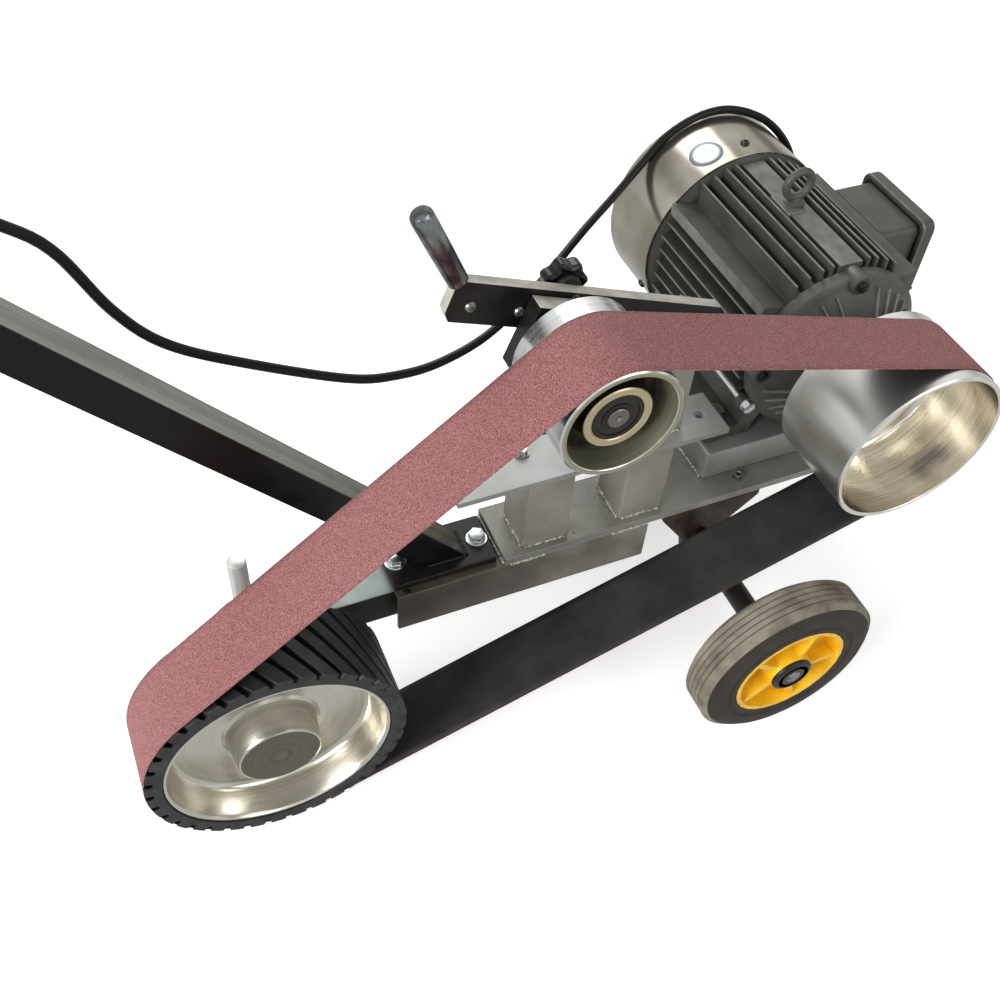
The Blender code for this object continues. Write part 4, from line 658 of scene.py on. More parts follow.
hub_near, hub_far = T_FRONT + 9 * MM, T_REAR - 9 * MM
web_near, web_far = T_FRONT + 30 * MM, T_REAR - 30 * MM
core = [(23.8 * MM, hub_far), (T_HUB - 1 * MM, hub_far), (T_HUB, hub_far - 1 * MM), (T_HUB, web_far + 4 * MM),
        (T_HUB + 4 * MM, web_far), (T_INNER - 5 * MM, web_far), (T_INNER - 1 * MM, web_far + 4 * MM),
        (T_INNER, T_REAR - 0.6 * MM), (T_INNER + 0.6 * MM, T_REAR), (TENSION_RADIUS - 1.4 * MM, T_REAR),
        (TENSION_RADIUS, T_REAR - 1.4 * MM), (TENSION_RADIUS, T_FRONT + 1.4 * MM),
        (TENSION_RADIUS - 1.4 * MM, T_FRONT),
        (T_INNER + 0.6 * MM, T_FRONT), (T_INNER, T_FRONT + 0.6 * MM), (T_INNER - 1 * MM, web_near - 4 * MM),
        (T_INNER - 5 * MM, web_near), (T_HUB + 4 * MM, web_near), (T_HUB, web_near - 4 * MM),
        (T_HUB, hub_near + 1 * MM), (T_HUB - 1 * MM, hub_near), (24.6 * MM, hub_near),
        (23.8 * MM, hub_near + 0.8 * MM),
        (23.8 * MM, hub_near + 15 * MM), (20.8 * MM, hub_near + 15 * MM), (20.8 * MM, hub_far - 15 * MM),
        (23.8 * MM, hub_far - 15 * MM)]
wheel = turned("tension_wheel_drum", core, (TENSION[0], 0, TENSION[1]), TO_REAR, ground_steel, 120)
for extra in (cast_iron, machined_iron, faced_iron):
    wheel.data.materials.append(extra)
paint_faces(wheel, 1, lambda c, n: 24.8 * MM < radius_from(TENSION, c) < T_INNER - 0.5 * MM)
paint_faces(wheel, 2, lambda c, n: radius_from(TENSION, c) > T_INNER - 0.7 * MM
            and (radius_from(TENSION, c) < T_INNER + 0.2 * MM or abs(n.y) > 0.8))
paint_faces(wheel, 3, lambda c, n: 23 * MM < radius_from(TENSION, c) < T_HUB - 0.2 * MM and abs(n.y) > 0.5)
keep(wheel, "tension_spin", "polished_steel", "tension_wheel")
sealed_bearing("tension", "tension_bearing", TENSION, "tension_spin", oiled_steel)

axle_low, axle_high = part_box("tension_axle")
nose, tail = axle_low[1], axle_high[1]
collar = DATUM.y + 101.5 * MM
axle_profile = [(0, tail), (10 * MM, tail), (10 * MM, tail - 17.3 * MM), (14.2 * MM, tail - 17.3 * MM),
                (15 * MM, tail - 18.1 * MM), (15 * MM, collar + 0.8 * MM), (14.2 * MM, collar),
                (10 * MM, collar - 8 * MM),
                (10 * MM, nose + 3.2 * MM), (9.3 * MM, nose + 3.2 * MM), (9.3 * MM, nose + 2 * MM),
                (10 * MM, nose + 2 * MM),
                (10 * MM, nose + 0.8 * MM), (9.2 * MM, nose), (3 * MM, nose), (1.2 * MM, nose + 2.2 * MM),
                (0, nose + 2.2 * MM)]
# Oiled axle steel: grey brown, with a broken gleam.
worn_axle = new_material("oiled_axle_steel", "#77706a", 0.34, 0.85)
roughen(worn_axle, noise(worn_axle, 240, 3), 0.26, 0.44)
# Black oxide on steel: dark grey, with a dull metal sheen.
black_oxide = new_material("black_oxide_steel", "#3a3a38", 0.38, 0.85)
roughen(black_oxide, noise(black_oxide, 240, 3), 0.28, 0.5)
keep(turned("tension_axle_turned", axle_profile, (TENSION[0], 0, TENSION[1]), TO_REAR, worn_axle, 64),
     "tracking_block", "zinc_steel", "tension_axle")
clip_turns = [(TENSION[0] + 11.2 * MM * cos(a), nose + 2.6 * MM, TENSION[1] + 11.2 * MM * sin(a))
              for a in (radians(60 + 12 * i) for i in range(26))]
keep(wires("tension_axle_circlip", [clip_turns], 0.9 * MM, zinc, 2), "tracking_block", "zinc_steel")


# ---------------------------------------------------------------- Drive wheel
# A polished steel cup keyed on the motor's shaft. A thick washer and a hexagon screw in the shaft's end hold
# it on.
D_FRONT, D_REAR = drive_low[1], drive_high[1]
D_INNER = DRIVE_RADIUS - 5 * MM
shaft_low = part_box("motor_shaft")[0]

# Polished steel: bright and smooth, with soft broad reflections.
polished = new_material("polished_steel", "#e2e1dc", 0.2, 1.0)
roughen(polished, noise(polished, 14, 2), 0.26, 0.34)
# Bored steel: warmer and glossier than the outside of the cup.
bored = new_material("bored_steel", "#efebe2", 0.18, 1.0)
marks = turning_marks(bored, DRIVE, 3 * MM, 0.000006, "#f5f2ec", "#e6dfd0")
roughen(bored, marks, 0.16, 0.24)
web_near, web_far = D_REAR - 16 * MM, D_REAR - 7 * MM
hub_near = shaft_low[1] - 1 * MM
cup = [(14.3 * MM, D_REAR - 2 * MM), (24.2 * MM, D_REAR - 2 * MM), (25 * MM, D_REAR - 2.8 * MM),
       (25 * MM, web_far),
       (D_INNER, web_far), (D_INNER, D_REAR - 0.6 * MM), (D_INNER + 0.6 * MM, D_REAR),
       (DRIVE_RADIUS - 1.4 * MM, D_REAR),
       (DRIVE_RADIUS, D_REAR - 1.4 * MM), (DRIVE_RADIUS, D_FRONT + 1.4 * MM),
       (DRIVE_RADIUS - 1.4 * MM, D_FRONT),
       (D_INNER + 0.8 * MM, D_FRONT), (D_INNER, D_FRONT + 0.8 * MM), (D_INNER, web_near - 8 * MM)]
cup += [(D_INNER - 8 * MM * (1 - cos(a)), web_near - 8 * MM + 8 * MM * sin(a))
        for a in (0.4, 0.8, 1.2, pi / 2)]
cup += [(31 * MM, web_near), (27 * MM, web_near - 1.5 * MM), (25 * MM, web_near - 5 * MM),
        (25 * MM, hub_near + 1 * MM),
        (24 * MM, hub_near), (15 * MM, hub_near), (14.3 * MM, hub_near + 0.7 * MM)]
cup_piece = turned("drive_wheel_cup", cup, (DRIVE[0], 0, DRIVE[1]), TO_REAR, polished, 144)
cup_piece.data.materials.append(bored)
paint_faces(cup_piece, 1, lambda c, n: c.y < D_REAR - 8 * MM and (radius_from(DRIVE, c) < D_INNER + 0.2 * MM
                                                                  or n.y < -0.8))
keep(cup_piece, "drive_spin", "polished_steel", "drive_wheel")
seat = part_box("drive_wheel_retainer")[1][1]
washer = [(8.2 * MM, seat), (19.2 * MM, seat), (20 * MM, seat - 0.8 * MM), (20 * MM, seat - 3.2 * MM),
          (19.2 * MM, seat - 4 * MM), (0, seat - 4 * MM), (0, seat)]
keep(turned("drive_wheel_washer", washer, (DRIVE[0], 0, DRIVE[1]), TO_REAR, black_oxide, 64),
     "drive_spin", "zinc_steel", "drive_wheel_retainer")


def hex_head(name, across, height, origin, axis, material, body, slot, flange=0.0, start=0.0):
    """Hexagon screw head with a chamfered top, on a washer face or a flange of the given radius."""
    corner = across / sqrt(3)
    bm = bmesh.new()
    bmesh.ops.create_cone(bm, cap_ends=True, segments=6, radius1=corner, radius2=corner, depth=height)
    bmesh.ops.translate(bm, vec=(0, 0, height / 2), verts=bm.verts)
    top = [f for f in bm.faces if f.normal.z > 0.9]
    bmesh.ops.inset_region(bm, faces=top, thickness=corner * 0.11)
    bmesh.ops.translate(bm, vec=(0, 0, -corner * 0.05), verts=[v for v in bm.verts if v.co.z > height * 0.9
                                                              and v.co.xy.length > corner * 0.95])
    foot = [(0, -0.02 * MM), (corner * 0.86 if not flange else flange, -0.02 * MM),
            (corner * 0.86 if not flange else flange, 0.5 * MM),
            (corner * 0.8, 1.0 * MM if not flange else 2.2 * MM),
            (0, 1.0 * MM if not flange else 2.2 * MM)]
    quaternion = Vector(axis).normalized().to_track_quat("Z", "Y").to_matrix().to_4x4()
    bmesh.ops.transform(bm, matrix=Matrix.Translation(origin) @ quaternion @ Matrix.Rotation(start, 4, "Z"),
                        verts=bm.verts)
    head = from_bmesh(bm, name, material, 30)
    bead_edges(head, 0.35 * MM, 2)
    keep(turned(name + "_seat", foot, origin, axis, material, 48), body, slot)
    return keep(head, body, slot)


hex_head("drive_wheel_screw", 14 * MM, 6 * MM, (DRIVE[0], seat - 4 * MM, DRIVE[1]), TO_FRONT, zinc,
         "drive_spin",
         "zinc_steel", 0, 0.3)
dress(ground_steel, "motor_shaft")


# ---------------------------------------------------------------- Motor
# A foot-mounted fan-cooled motor in a finned iron housing, painted dark grey. Its bearing shields are
# screwed to both ends, a pressed steel cowl covers the fan, and the terminal box sits on the far side.
COWL_FRONT, COWL_REAR, COWL_SHOULDER, COWL_WALL = 353 * MM, 452 * MM, 14 * MM, 1.8 * MM

# Enamel over iron castings: dark grey green, slightly uneven from the casting beneath.
cast_paint = new_material("painted_casting", "#4c4d46", 0.42, 0.0, IOR=1.5)
vary(cast_paint, noise(cast_paint, 35, 5), ("#45463f", "#52534b"))
roughen(cast_paint, noise(cast_paint, 60, 3), 0.34, 0.52)
bump(cast_paint, noise(cast_paint, 900, 3), 0.00015)
# The same enamel on raised tips, ribs, pad and rim: paler and a little shinier. This is partly rubbed paint
# and partly a painted highlight where these edges catch the light.
worn_and_lit_paint = new_material("worn_and_highlighted_casting_edges", "#646860", 0.36, 0.2)
vary(worn_and_lit_paint, noise(worn_and_lit_paint, 50, 5), ("#5f635b", "#7d8178"))
bump(worn_and_lit_paint, noise(worn_and_lit_paint, 900, 3), 0.0001)


def refined(name, node_name, body, slot, materials, width=0.8 * MM, segments=2, angle=30):
    """Copy of a CAD node with its triangles merged into clean faces and its edges rounded."""
    bm = bmesh.new()
    bm.from_mesh(bpy.data.objects[node_name].data)
    bmesh.ops.remove_doubles(bm, verts=bm.verts, dist=0.00001)
    bmesh.ops.dissolve_limit(bm, angle_limit=radians(1), verts=bm.verts, edges=bm.edges)
    obj = from_bmesh(bm, name, materials, 35)
    if width:
        bead_edges(obj, width, segments, angle)
    return keep(obj, body, slot, node_name)


def slab(name, low, high, material, body, slot, edge=1 * MM, corner=0.0, along=0, segments=5, keeping=True):
    """Block between two corners with rounded edges; the four edges along one axis can be rounder."""
    bm = bmesh.new()
    bmesh.ops.create_cube(bm, size=1)
    bmesh.ops.scale(bm, vec=Vector(high) - Vector(low), verts=bm.verts)
    bmesh.ops.translate(bm, vec=(Vector(low) + Vector(high)) / 2, verts=bm.verts)
    if corner:
        sides = [e for e in bm.edges if abs((e.verts[0].co - e.verts[1].co).normalized()[along]) > 0.9]
        bmesh.ops.bevel(bm, geom=sides, offset=corner, segments=segments, affect="EDGES", profile=0.5)
    obj = from_bmesh(bm, name, material, 35)
    bead_edges(obj, edge, 2, 40)
    return keep(obj, body, slot) if keeping else obj


housing = refined("motor_housing_casting", "motor_housing", "root", "motor_paint", [cast_paint, worn_and_lit_paint],
                  0.7 * MM)
# Outward fin tips, all but the lowest, take the paler enamel: rubbed paint with a painted highlight.
paint_faces(housing, 1, lambda c, n: radius_from(DRIVE, c) > 100 * MM and abs(n.y) < 0.5
            and c.z > DRIVE[1] - 70 * MM
            and n.dot(Vector((c.x - DRIVE[0], 0, c.z - DRIVE[1])).normalized()) > 0.75)
slab("eye_bolt_pad", at(638, 250, 268), at(658, 286, 297.4), worn_and_lit_paint, "root", "motor_paint", 1.5 * MM)

shield = [(31.3, 139), (44, 139), (50, 149.7), (80, 159.7), (97, 159.7), (98, 158.7), (98, 146.7),
          (97, 145.7), (91, 143.2),
          (88, 141.4), (62, 122.6), (57, 120.4), (50, 116.8), (48, 116), (24, 116), (22.6, 117.4),
          (16, 117.4), (16, 122),
          (31.3, 122)]
shield_piece = turned("drive_end_shield_casting", [(r * MM, DATUM.y + y * MM) for r, y in shield],
                      (DRIVE[0], 0, DRIVE[1]), TO_REAR, cast_paint, 120)
keep(shield_piece, "root", "motor_paint", "drive_end_shield")
bm = bmesh.new()
RIBS = 32
slope = atan2(141.4 - 122.6, 88 - 62)
for i in range(RIBS):
    if i % 8 in (0, 7):
        continue
    made = bmesh.ops.create_cube(bm, size=1)["verts"]
    bmesh.ops.scale(bm, vec=(30 * MM, 5 * MM, 2.2 * MM), verts=made)
    bmesh.ops.rotate(bm, matrix=Matrix.Rotation(slope, 3, "Z"), verts=made)
    bmesh.ops.translate(bm, vec=(74.5 * MM, 130.9 * MM, 0), verts=made)
    bmesh.ops.rotate(bm, matrix=Matrix.Rotation(-(i + 0.5) * 2 * pi / RIBS, 3, "Y"), verts=made)
bmesh.ops.translate(bm, vec=(DRIVE[0], DATUM.y, DRIVE[1]), verts=bm.verts)
shield_ribs = from_bmesh(bm, "drive_end_shield_ribs", worn_and_lit_paint)
bead_edges(shield_ribs, 0.8 * MM, 2)
keep(shield_ribs, "root", "motor_paint")
SHIELD_LUGS = 4
for i in range(SHIELD_LUGS):
    angle = pi / 2 * (i + 1)
    middle = (DRIVE[0] + 92 * MM * cos(angle), DATUM.y, DRIVE[1] + 92 * MM * sin(angle))
    lug = in_mm([(0, 160), (10.4, 160), (11, 159), (11, 138.5), (9.5, 137), (0, 137)])
    keep(turned("shield_lug_%d" % i, lug, middle, TO_REAR, cast_paint, 40), "root", "motor_paint")
    hex_head("shield_bolt_%d" % i, 11 * MM, 4.6 * MM, (middle[0], DATUM.y + 137 * MM, middle[2]), TO_FRONT,
             black_oxide, "root",
             "zinc_steel", 0, 0.2 * i)
for side, angle in (("left", radians(211)), ("right", radians(329))):
    middle = (DRIVE[0] + 104 * MM * cos(angle), DATUM.y, DRIVE[1] + 104 * MM * sin(angle))
    ear = in_mm([(0, 160), (9, 160), (9, 151), (8.4, 150.4), (0, 150.4)])
    keep(turned("tie_rod_ear_" + side, ear, middle, TO_REAR, cast_paint, 40), "root", "motor_paint")
    rod = in_mm([(0, 160), (4.6, 160), (4.6, 352), (0, 352)])
    keep(turned("tie_rod_" + side, rod, middle, TO_REAR, zinc, 32), "root", "zinc_steel")
    hex_head("tie_rod_head_" + side, 13 * MM, 7.4 * MM, (middle[0], DATUM.y + 150.4 * MM, middle[2]),
             TO_FRONT, zinc,
             "root", "zinc_steel", 8 * MM, 0.2)
v_ring = [(15.2, 117.3), (22, 117.3), (22, 115.5), (19, 112.5), (16.5, 111.5), (15.2, 112)]
keep(turned("shaft_seal", [(r * MM, DATUM.y + y * MM) for r, y in v_ring], (DRIVE[0], 0, DRIVE[1]), TO_REAR,
            seal_rubber_and_socket_shade, 64), "root", "motor_paint")
for side in (-1, 1):
    for y in (185, 325):
        place = at(MOTOR_X + side * 98, y, 95.2)
        hex_head("foot_bolt_%s_%d" % ("left" if side < 0 else "right", y), 17 * MM, 7 * MM, place, UPWARDS,
                 zinc, "root",
                 "zinc_steel", 12 * MM, 0.4 + side * 0.3 + y)
dress(cast_paint, "rear_end_shield")
# Varnished windings: dark copper brown in fine strands.
copper = new_material("varnished_windings", "#7a4528", 0.4, 0.5)
vary(copper, noise(copper, 300, 3, (1, 6, 1)), ("#5a3018", "#94603a"))
dress(copper, "motor_stator")
# Stacked laminations: grey steel with fine lines round it.
core_steel = new_material("laminated_steel", "#77787a", 0.4, 0.9)
bump(core_steel, noise(core_steel, 100, 1, (0.1, 20, 0.1)), 0.0001)
dress(core_steel, "motor_rotor")
dress(bearing_steel, "motor_bearing_front", "motor_bearing_rear")

# Bright pressed steel: mirrors its surroundings in broad bands, with a slight ripple from the press.
pressed_steel = new_material("bright_pressed_steel", "#a09a8d", 0.2, 0.9)
vary(pressed_steel, noise(pressed_steel, 12, 3), ("#8f897b", "#b3aea2"))
roughen(pressed_steel, noise(pressed_steel, 14, 2), 0.14, 0.22)
bump(pressed_steel, noise(pressed_steel, 25, 1), 0.0001)
bend = [(COWL_RADIUS - COWL_SHOULDER * (1 - sin(a)), COWL_REAR - COWL_SHOULDER * (1 - cos(a)))
        for a in (radians(10 * i) for i in range(10))]
hollow = [(COWL_RADIUS - COWL_SHOULDER * (1 - sin(a)) - COWL_WALL * sin(a),
           COWL_REAR - COWL_SHOULDER * (1 - cos(a))
           - COWL_WALL * cos(a)) for a in (radians(90 - 10 * i) for i in range(10))]
shell_line = [(83 * MM, COWL_REAR)] + bend + [(COWL_RADIUS, COWL_FRONT + 0.3 * MM),
                                              (COWL_RADIUS - 0.3 * MM, COWL_FRONT),
              (COWL_RADIUS - COWL_WALL, COWL_FRONT)] + hollow + [(83 * MM, COWL_REAR - COWL_WALL)]
axis_foot = (DRIVE[0], DATUM.y, DRIVE[1])
keep(turned("fan_cowl_pressing", shell_line, axis_foot, TO_REAR, pressed_steel, 160), "root", "cowl_paint",
     "fan_cowl")
centre_disc = [(16 * MM, COWL_REAR), (29.5 * MM, COWL_REAR), (29.5 * MM, COWL_REAR - COWL_WALL),
               (16 * MM, COWL_REAR - COWL_WALL)]
keep(turned("fan_cowl_centre", centre_disc, axis_foot, TO_REAR, pressed_steel, 64), "root", "cowl_paint")
bm = bmesh.new()
SLOTS = 16
for i in range(SLOTS):
    inner_half, outer_half = pi * 29 * MM / SLOTS - 4.5 * MM + 2.2 * MM, pi * 83.5 * MM / SLOTS - 4.5 * MM
    made = bmesh.ops.create_cube(bm, size=1)["verts"]
    for v in made:
        inside = v.co.x < 0
        v.co.z = (inner_half if inside else outer_half) * (1 if v.co.z > 0 else -1)
        v.co.x = 28.5 * MM if inside else 83.6 * MM
        v.co.y = COWL_REAR - 0.9 * MM + (0.85 * MM if v.co.y > 0 else -0.85 * MM)
    bmesh.ops.rotate(bm, matrix=Matrix.Rotation((i + 0.5) * 2 * pi / SLOTS, 3, "Y"), verts=made)
bmesh.ops.translate(bm, vec=axis_foot, verts=bm.verts)
grille = from_bmesh(bm, "fan_cowl_grille", pressed_steel)
bead_edges(grille, 0.35 * MM, 2)
keep(grille, "root", "cowl_paint")
# Moulded plastic: matt black.
fan_plastic = new_material("moulded_fan_plastic", "#1c1d1d", 0.5)
roughen(fan_plastic, noise(fan_plastic, 80, 3), 0.4, 0.6)
dress(fan_plastic, "cooling_fan")

# Enamelled disc: plain off-white with a soft gleam.
badge_white = new_material("enamelled_disc", "#e9ecee", 0.32)
# Its rolled edge: blue-grey metal.
badge_edge = new_material("disc_edge", "#7f8790", 0.4, 0.6)
vary(badge_white, noise(badge_white, 120, 3), ("#dfe3e7", "#f2f3f4"))
bm = bmesh.new()
BADGE_RADIUS, BADGE_ANGLE, BADGE_Y = 19 * MM, radians(112), 380 * MM
rings_of_badge = []
for k in range(0, 9):
    radius = BADGE_RADIUS * k / 8
    turn_count = 64 if k else 1
    rings_of_badge.append([bm.verts.new((0, 0, 0)) for _ in range(turn_count)])
    for j, v in enumerate(rings_of_badge[-1]):
        u, w = radius * cos(2 * pi * j / 64), radius * sin(2 * pi * j / 64)
        angle = BADGE_ANGLE - u / COWL_RADIUS
        height = COWL_RADIUS + (0.9 if k < 7 else 1.3 if k == 7 else 0.05) * MM
        v.co = (DRIVE[0] + height * cos(angle), DATUM.y + BADGE_Y + w, DRIVE[1] + height * sin(angle))
for k in range(8):
    inner_ring, outer_ring = rings_of_badge[k], rings_of_badge[k + 1]
    for j in range(64):
        if k == 0:
            face = bm.faces.new((inner_ring[0], outer_ring[j], outer_ring[(j + 1) % 64]))
        else:
            face = bm.faces.new((inner_ring[j], outer_ring[j], outer_ring[(j + 1) % 64],
                                 inner_ring[(j + 1) % 64]))
        face.material_index = 1 if k >= 6 else 0
under = bm.faces.new(list(reversed(rings_of_badge[-1])))
bmesh.ops.triangulate(bm, faces=[under])
bmesh.ops.recalc_face_normals(bm, faces=bm.faces)
keep(from_bmesh(bm, "cowl_badge_disc", [badge_white, badge_edge], 50), "root", "cowl_paint")
for i in range(3):
    angle = radians(89 + 120 * i)
    outward = Vector((cos(angle), 0, sin(angle)))
    foot = Vector((DRIVE[0], DATUM.y + 374 * MM, DRIVE[1])) + outward * COWL_RADIUS
    pan = in_mm([(0, -0.5), (5.2, -0.5), (5.2, 0.8), (4.4, 2.2), (2.6, 3), (1.6, 3.1), (1.5, 1.4), (0, 1.4)])
    keep(turned("cowl_screw_%d" % i, pan, foot, outward, black_oxide, 32), "root", "cowl_paint")

EYE = at(MOTOR_X, 268, 318.7)
eye_turns = [(EYE.x + 15 * MM * cos(a), EYE.y, EYE.z + 15 * MM * sin(a))
             for a in (2 * pi * i / 48 for i in range(48))]
keep(wires("eye_bolt_ring", [eye_turns], 4.5 * MM, cast_paint, 5, closed=True), "root", "motor_paint",
     "eye_bolt")
eye_foot = in_mm([(0, 0), (10, 0), (11, 1), (11, 3.6), (9, 5), (6, 6.5), (5.2, 9), (0, 9)])
keep(turned("eye_bolt_collar", eye_foot, at(MOTOR_X, 268, 295.7), UPWARDS, cast_paint, 48), "root",
     "motor_paint")

box_low, box_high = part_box("terminal_box")
cover_low, cover_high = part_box("terminal_cover")
box_rear = cover_high[1] - 8 * MM
box = slab("terminal_box_casting", box_low, (box_high[0], box_rear, box_high[2]), cast_paint, "root",
           "motor_paint",
           0.8 * MM, 9 * MM, 0, 6, keeping=False)
keep(box, "root", "motor_paint", "terminal_box")
slab("terminal_gasket", (box_high[0] - 0.4 * MM, cover_low[1] + 5 * MM, cover_low[2] + 5 * MM),
     (cover_low[0] + 1 * MM, cover_high[1] - 5 * MM, cover_high[2] - 5 * MM), seal_rubber_and_socket_shade, "root",
     "motor_paint", 0.3 * MM, 8 * MM)
lid = slab("terminal_lid", cover_low, cover_high, cast_paint, "root", "motor_paint", 2.2 * MM, 11 * MM, 0, 6,
           keeping=False)
keep(lid, "root", "motor_paint", "terminal_cover")
slab("terminal_lid_rim", (cover_low[0] + 0.1 * MM, cover_low[1] + 0.1 * MM, cover_low[2] + 0.1 * MM),
     (cover_low[0] + 5 * MM, cover_high[1] - 0.1 * MM, cover_high[2] - 0.1 * MM), worn_and_lit_paint, "root",
     "motor_paint", 1 * MM,
     11 * MM)
for y in (cover_low[1] + 11 * MM, cover_high[1] - 11 * MM):
    for z in (cover_low[2] + 11 * MM, cover_high[2] - 11 * MM):
        recess = in_mm([(0, -2), (4.6, -2), (4.6, -0.6), (4, -0.15), (2, -0.1), (1.8, -1.4), (0, -1.4)])
        keep(turned("lid_screw", recess, (cover_high[0] + 0.1 * MM, y, z), (1, 0, 0), zinc, 32), "root",
             "motor_paint")
bm = bmesh.new()
bmesh.ops.create_cone(bm, cap_ends=True, segments=40, radius1=13 * MM, radius2=12 * MM, depth=8 * MM)
bmesh.ops.rotate(bm, matrix=Matrix.Rotation(-pi / 2, 3, "X"), verts=bm.verts)
bmesh.ops.translate(bm, vec=(cable_start.x, box_rear + 3.5 * MM, cable_start.z), verts=bm.verts)
boss = from_bmesh(bm, "terminal_box_boss", cast_paint)
bead_edges(boss, 0.8 * MM)
keep(boss, "root", "motor_paint")


# ---------------------------------------------------------------- Frame
# Base plate, front channel, two square posts, an upper plate and two angle rails under the motor, cut from
# mill steel and washed with a thin grey primer. They are welded together with lumpy hand-laid beads.
# Thinly primed mill steel: mid grey.
base_steel = new_material("primed_base_steel", "#8c8b83", 0.36, 0.3)
# Flat plates hold dust and rubbed patches, so they vary in broad clouds.
vary(base_steel, noise(base_steel, 14, 5), ("#7e7d75", "#9b9a92"))
roughen(base_steel, noise(base_steel, 45, 4), 0.3, 0.52)
bump(base_steel, noise(base_steel, 350, 3), 0.00008)
# The same primer, handled and oily: brown grey.
channel_steel = new_material("handled_channel_steel", "#6a655b", 0.38, 0.3)
bump(channel_steel, noise(channel_steel, 350, 3), 0.00008)
# The channel is painted darker and browner towards its left end: a painted shadow of the boom's flange and
# foot, over handled patches.
tree = channel_steel.node_tree
place_on = node(tree, "SeparateXYZ", {"Vector": node(tree, "TexCoord").outputs["Object"]})
flange_shadow_ramp = node(tree, "MapRange",
               {"Value": place_on.outputs["X"], "From Min": DATUM.x + 0.19, "From Max": DATUM.x + 0.46,
                "To Max": 0.45})
shadow_and_patches = node(tree, "Math", {0: flange_shadow_ramp.outputs[0], 1: noise(channel_steel, 20, 4)}, operation="ADD")
vary(channel_steel, shadow_and_patches.outputs[0], ("#4a4339", "#5f594e", "#85837a"), (0.4, 0.98))
# Primed square tube: warm grey with cloudy patches, painted paler. The paleness is painted light that lifts
# faces which render shaded.
lifted_tube_primer = new_material("tube_primer_with_painted_light", "#9a978a", 0.4, 0.25)
vary(lifted_tube_primer, noise(lifted_tube_primer, 16, 5), ("#8d8a7d", "#a8a598"))
roughen(lifted_tube_primer, noise(lifted_tube_primer, 50, 4), 0.34, 0.55)
bump(lifted_tube_primer, noise(lifted_tube_primer, 350, 3), 0.00008)
# Weld metal: bright, and speckled over each ripple.
weld_steel = new_material("fresh_weld_metal", "#b4b2a6", 0.38, 0.7)
vary(weld_steel, noise(weld_steel, 260, 4), ("#7d7b70", "#d0cec4"))
bump(weld_steel, noise(weld_steel, 700, 3), 0.0004)

refined("base_plate_cut", "base_plate", "root", "grey_paint", base_steel, 0.8 * MM)
refined("front_channel_folded", "front_channel", "root", "grey_paint", channel_steel, 1.2 * MM)
for name in ("post_left", "post_right"):
    refined(name + "_tube", name, "root", "grey_paint", lifted_tube_primer, 3 * MM, 4)
# Primed plate: cooler and paler than the base plate. The extra paleness is painted light that lifts the upper
# plate and the shaded rails.
lifted_plate_primer = new_material("plate_primer_with_painted_light", "#a3a5a3", 0.34, 0.35)
vary(lifted_plate_primer, noise(lifted_plate_primer, 15, 5), ("#96978f", "#b0b2b1"))
bump(lifted_plate_primer, noise(lifted_plate_primer, 350, 3), 0.00006)
refined("upper_plate_cut", "upper_plate", "root", "grey_paint", lifted_plate_primer, 0.6 * MM)
for name in ("motor_rail_front", "motor_rail_rear"):
    refined(name + "_angle", name, "root", "grey_paint", lifted_plate_primer, 2 * MM, 3)


def weld(name, start, end, radius, gap=0.0, material=weld_steel):
    """Lumpy bead along a line; a gap share leaves it in stitches."""
    start, end = Vector(start), Vector(end)
    count = int((end - start).length / (0.9 * MM))
    beads, run = [], []
    for i in range(count + 1):
        if gap and random.random() < gap and len(run) > 5:
            beads.append(run)
            run = []
            continue
        ripple = 0.78 + 0.22 * abs(sin(i * 0.75)) + random.uniform(-0.08, 0.12)
        jitter = Vector([random.uniform(-0.3, 0.3) * MM for _ in range(3)])
        run.append((*(start.lerp(end, i / count) + jitter), ripple))
    beads.append(run)
    return keep(wires(name, [b for b in beads if len(b) > 3], radius, material, 3), "root", "grey_paint")


for name, x in (("left", 299), ("right", 413)):
    weld("post_%s_side_weld" % name, at(x, 126, 40), at(x, 173, 40), 2.6 * MM)
    weld("post_%s_front_weld" % name, at(x + 3, 123, 40), at(x + 49, 123, 40), 2.0 * MM, 0.05
         if name == "left" else 0)
    weld("post_%s_far_weld" % name, at(x + 52, 126, 40), at(x + 52, 173, 40), 2.4 * MM)
    weld("post_%s_top_weld" % name, at(x + 2, 123.4, 135.6), at(x + 50, 123.4, 135.6), 1.6 * MM)
for name, y in (("front", 143), ("rear", 297)):
    weld("rail_%s_end_weld" % name, at(529, y + 4, 40), at(529, y + 52, 40), 2.4 * MM)
    weld("rail_%s_side_weld" % name, at(545, y + 55, 40), at(765, y + 55, 40), 2.2 * MM, 0.03)
weld("channel_stitch_left", at(283, 114.3, 29.6), at(322, 114.3, 29.6), 1.9 * MM)
weld("channel_stitch_right", at(402, 114.3, 29.6), at(446, 114.3, 29.6), 1.9 * MM)
weld("base_edge_weld", at(276, 116, 29.8), at(276, 188, 29.8), 2.6 * MM)
weld("bracket_weld", at(434, 138, 143), at(476, 138, 143), 2.0 * MM)
spatter = []
for _ in range(46):
    x, y = random.choice(((random.uniform(284, 298), random.uniform(120, 178)),
                          (random.uniform(352, 360), random.uniform(120, 170)),
                          (random.uniform(398, 411), random.uniform(122, 176)),
                          (random.uniform(518, 528), random.uniform(143, 196))))
    z = 39.6
    spatter.append([(*at(x, y, z), 0.5), (*at(x, y, z + 0.7), random.uniform(0.6, 1.3)),
                    (*at(x, y, z + 1.2), 0.4)])
keep(wires("weld_spatter", spatter, 0.8 * MM, weld_steel, 2), "root", "grey_paint")


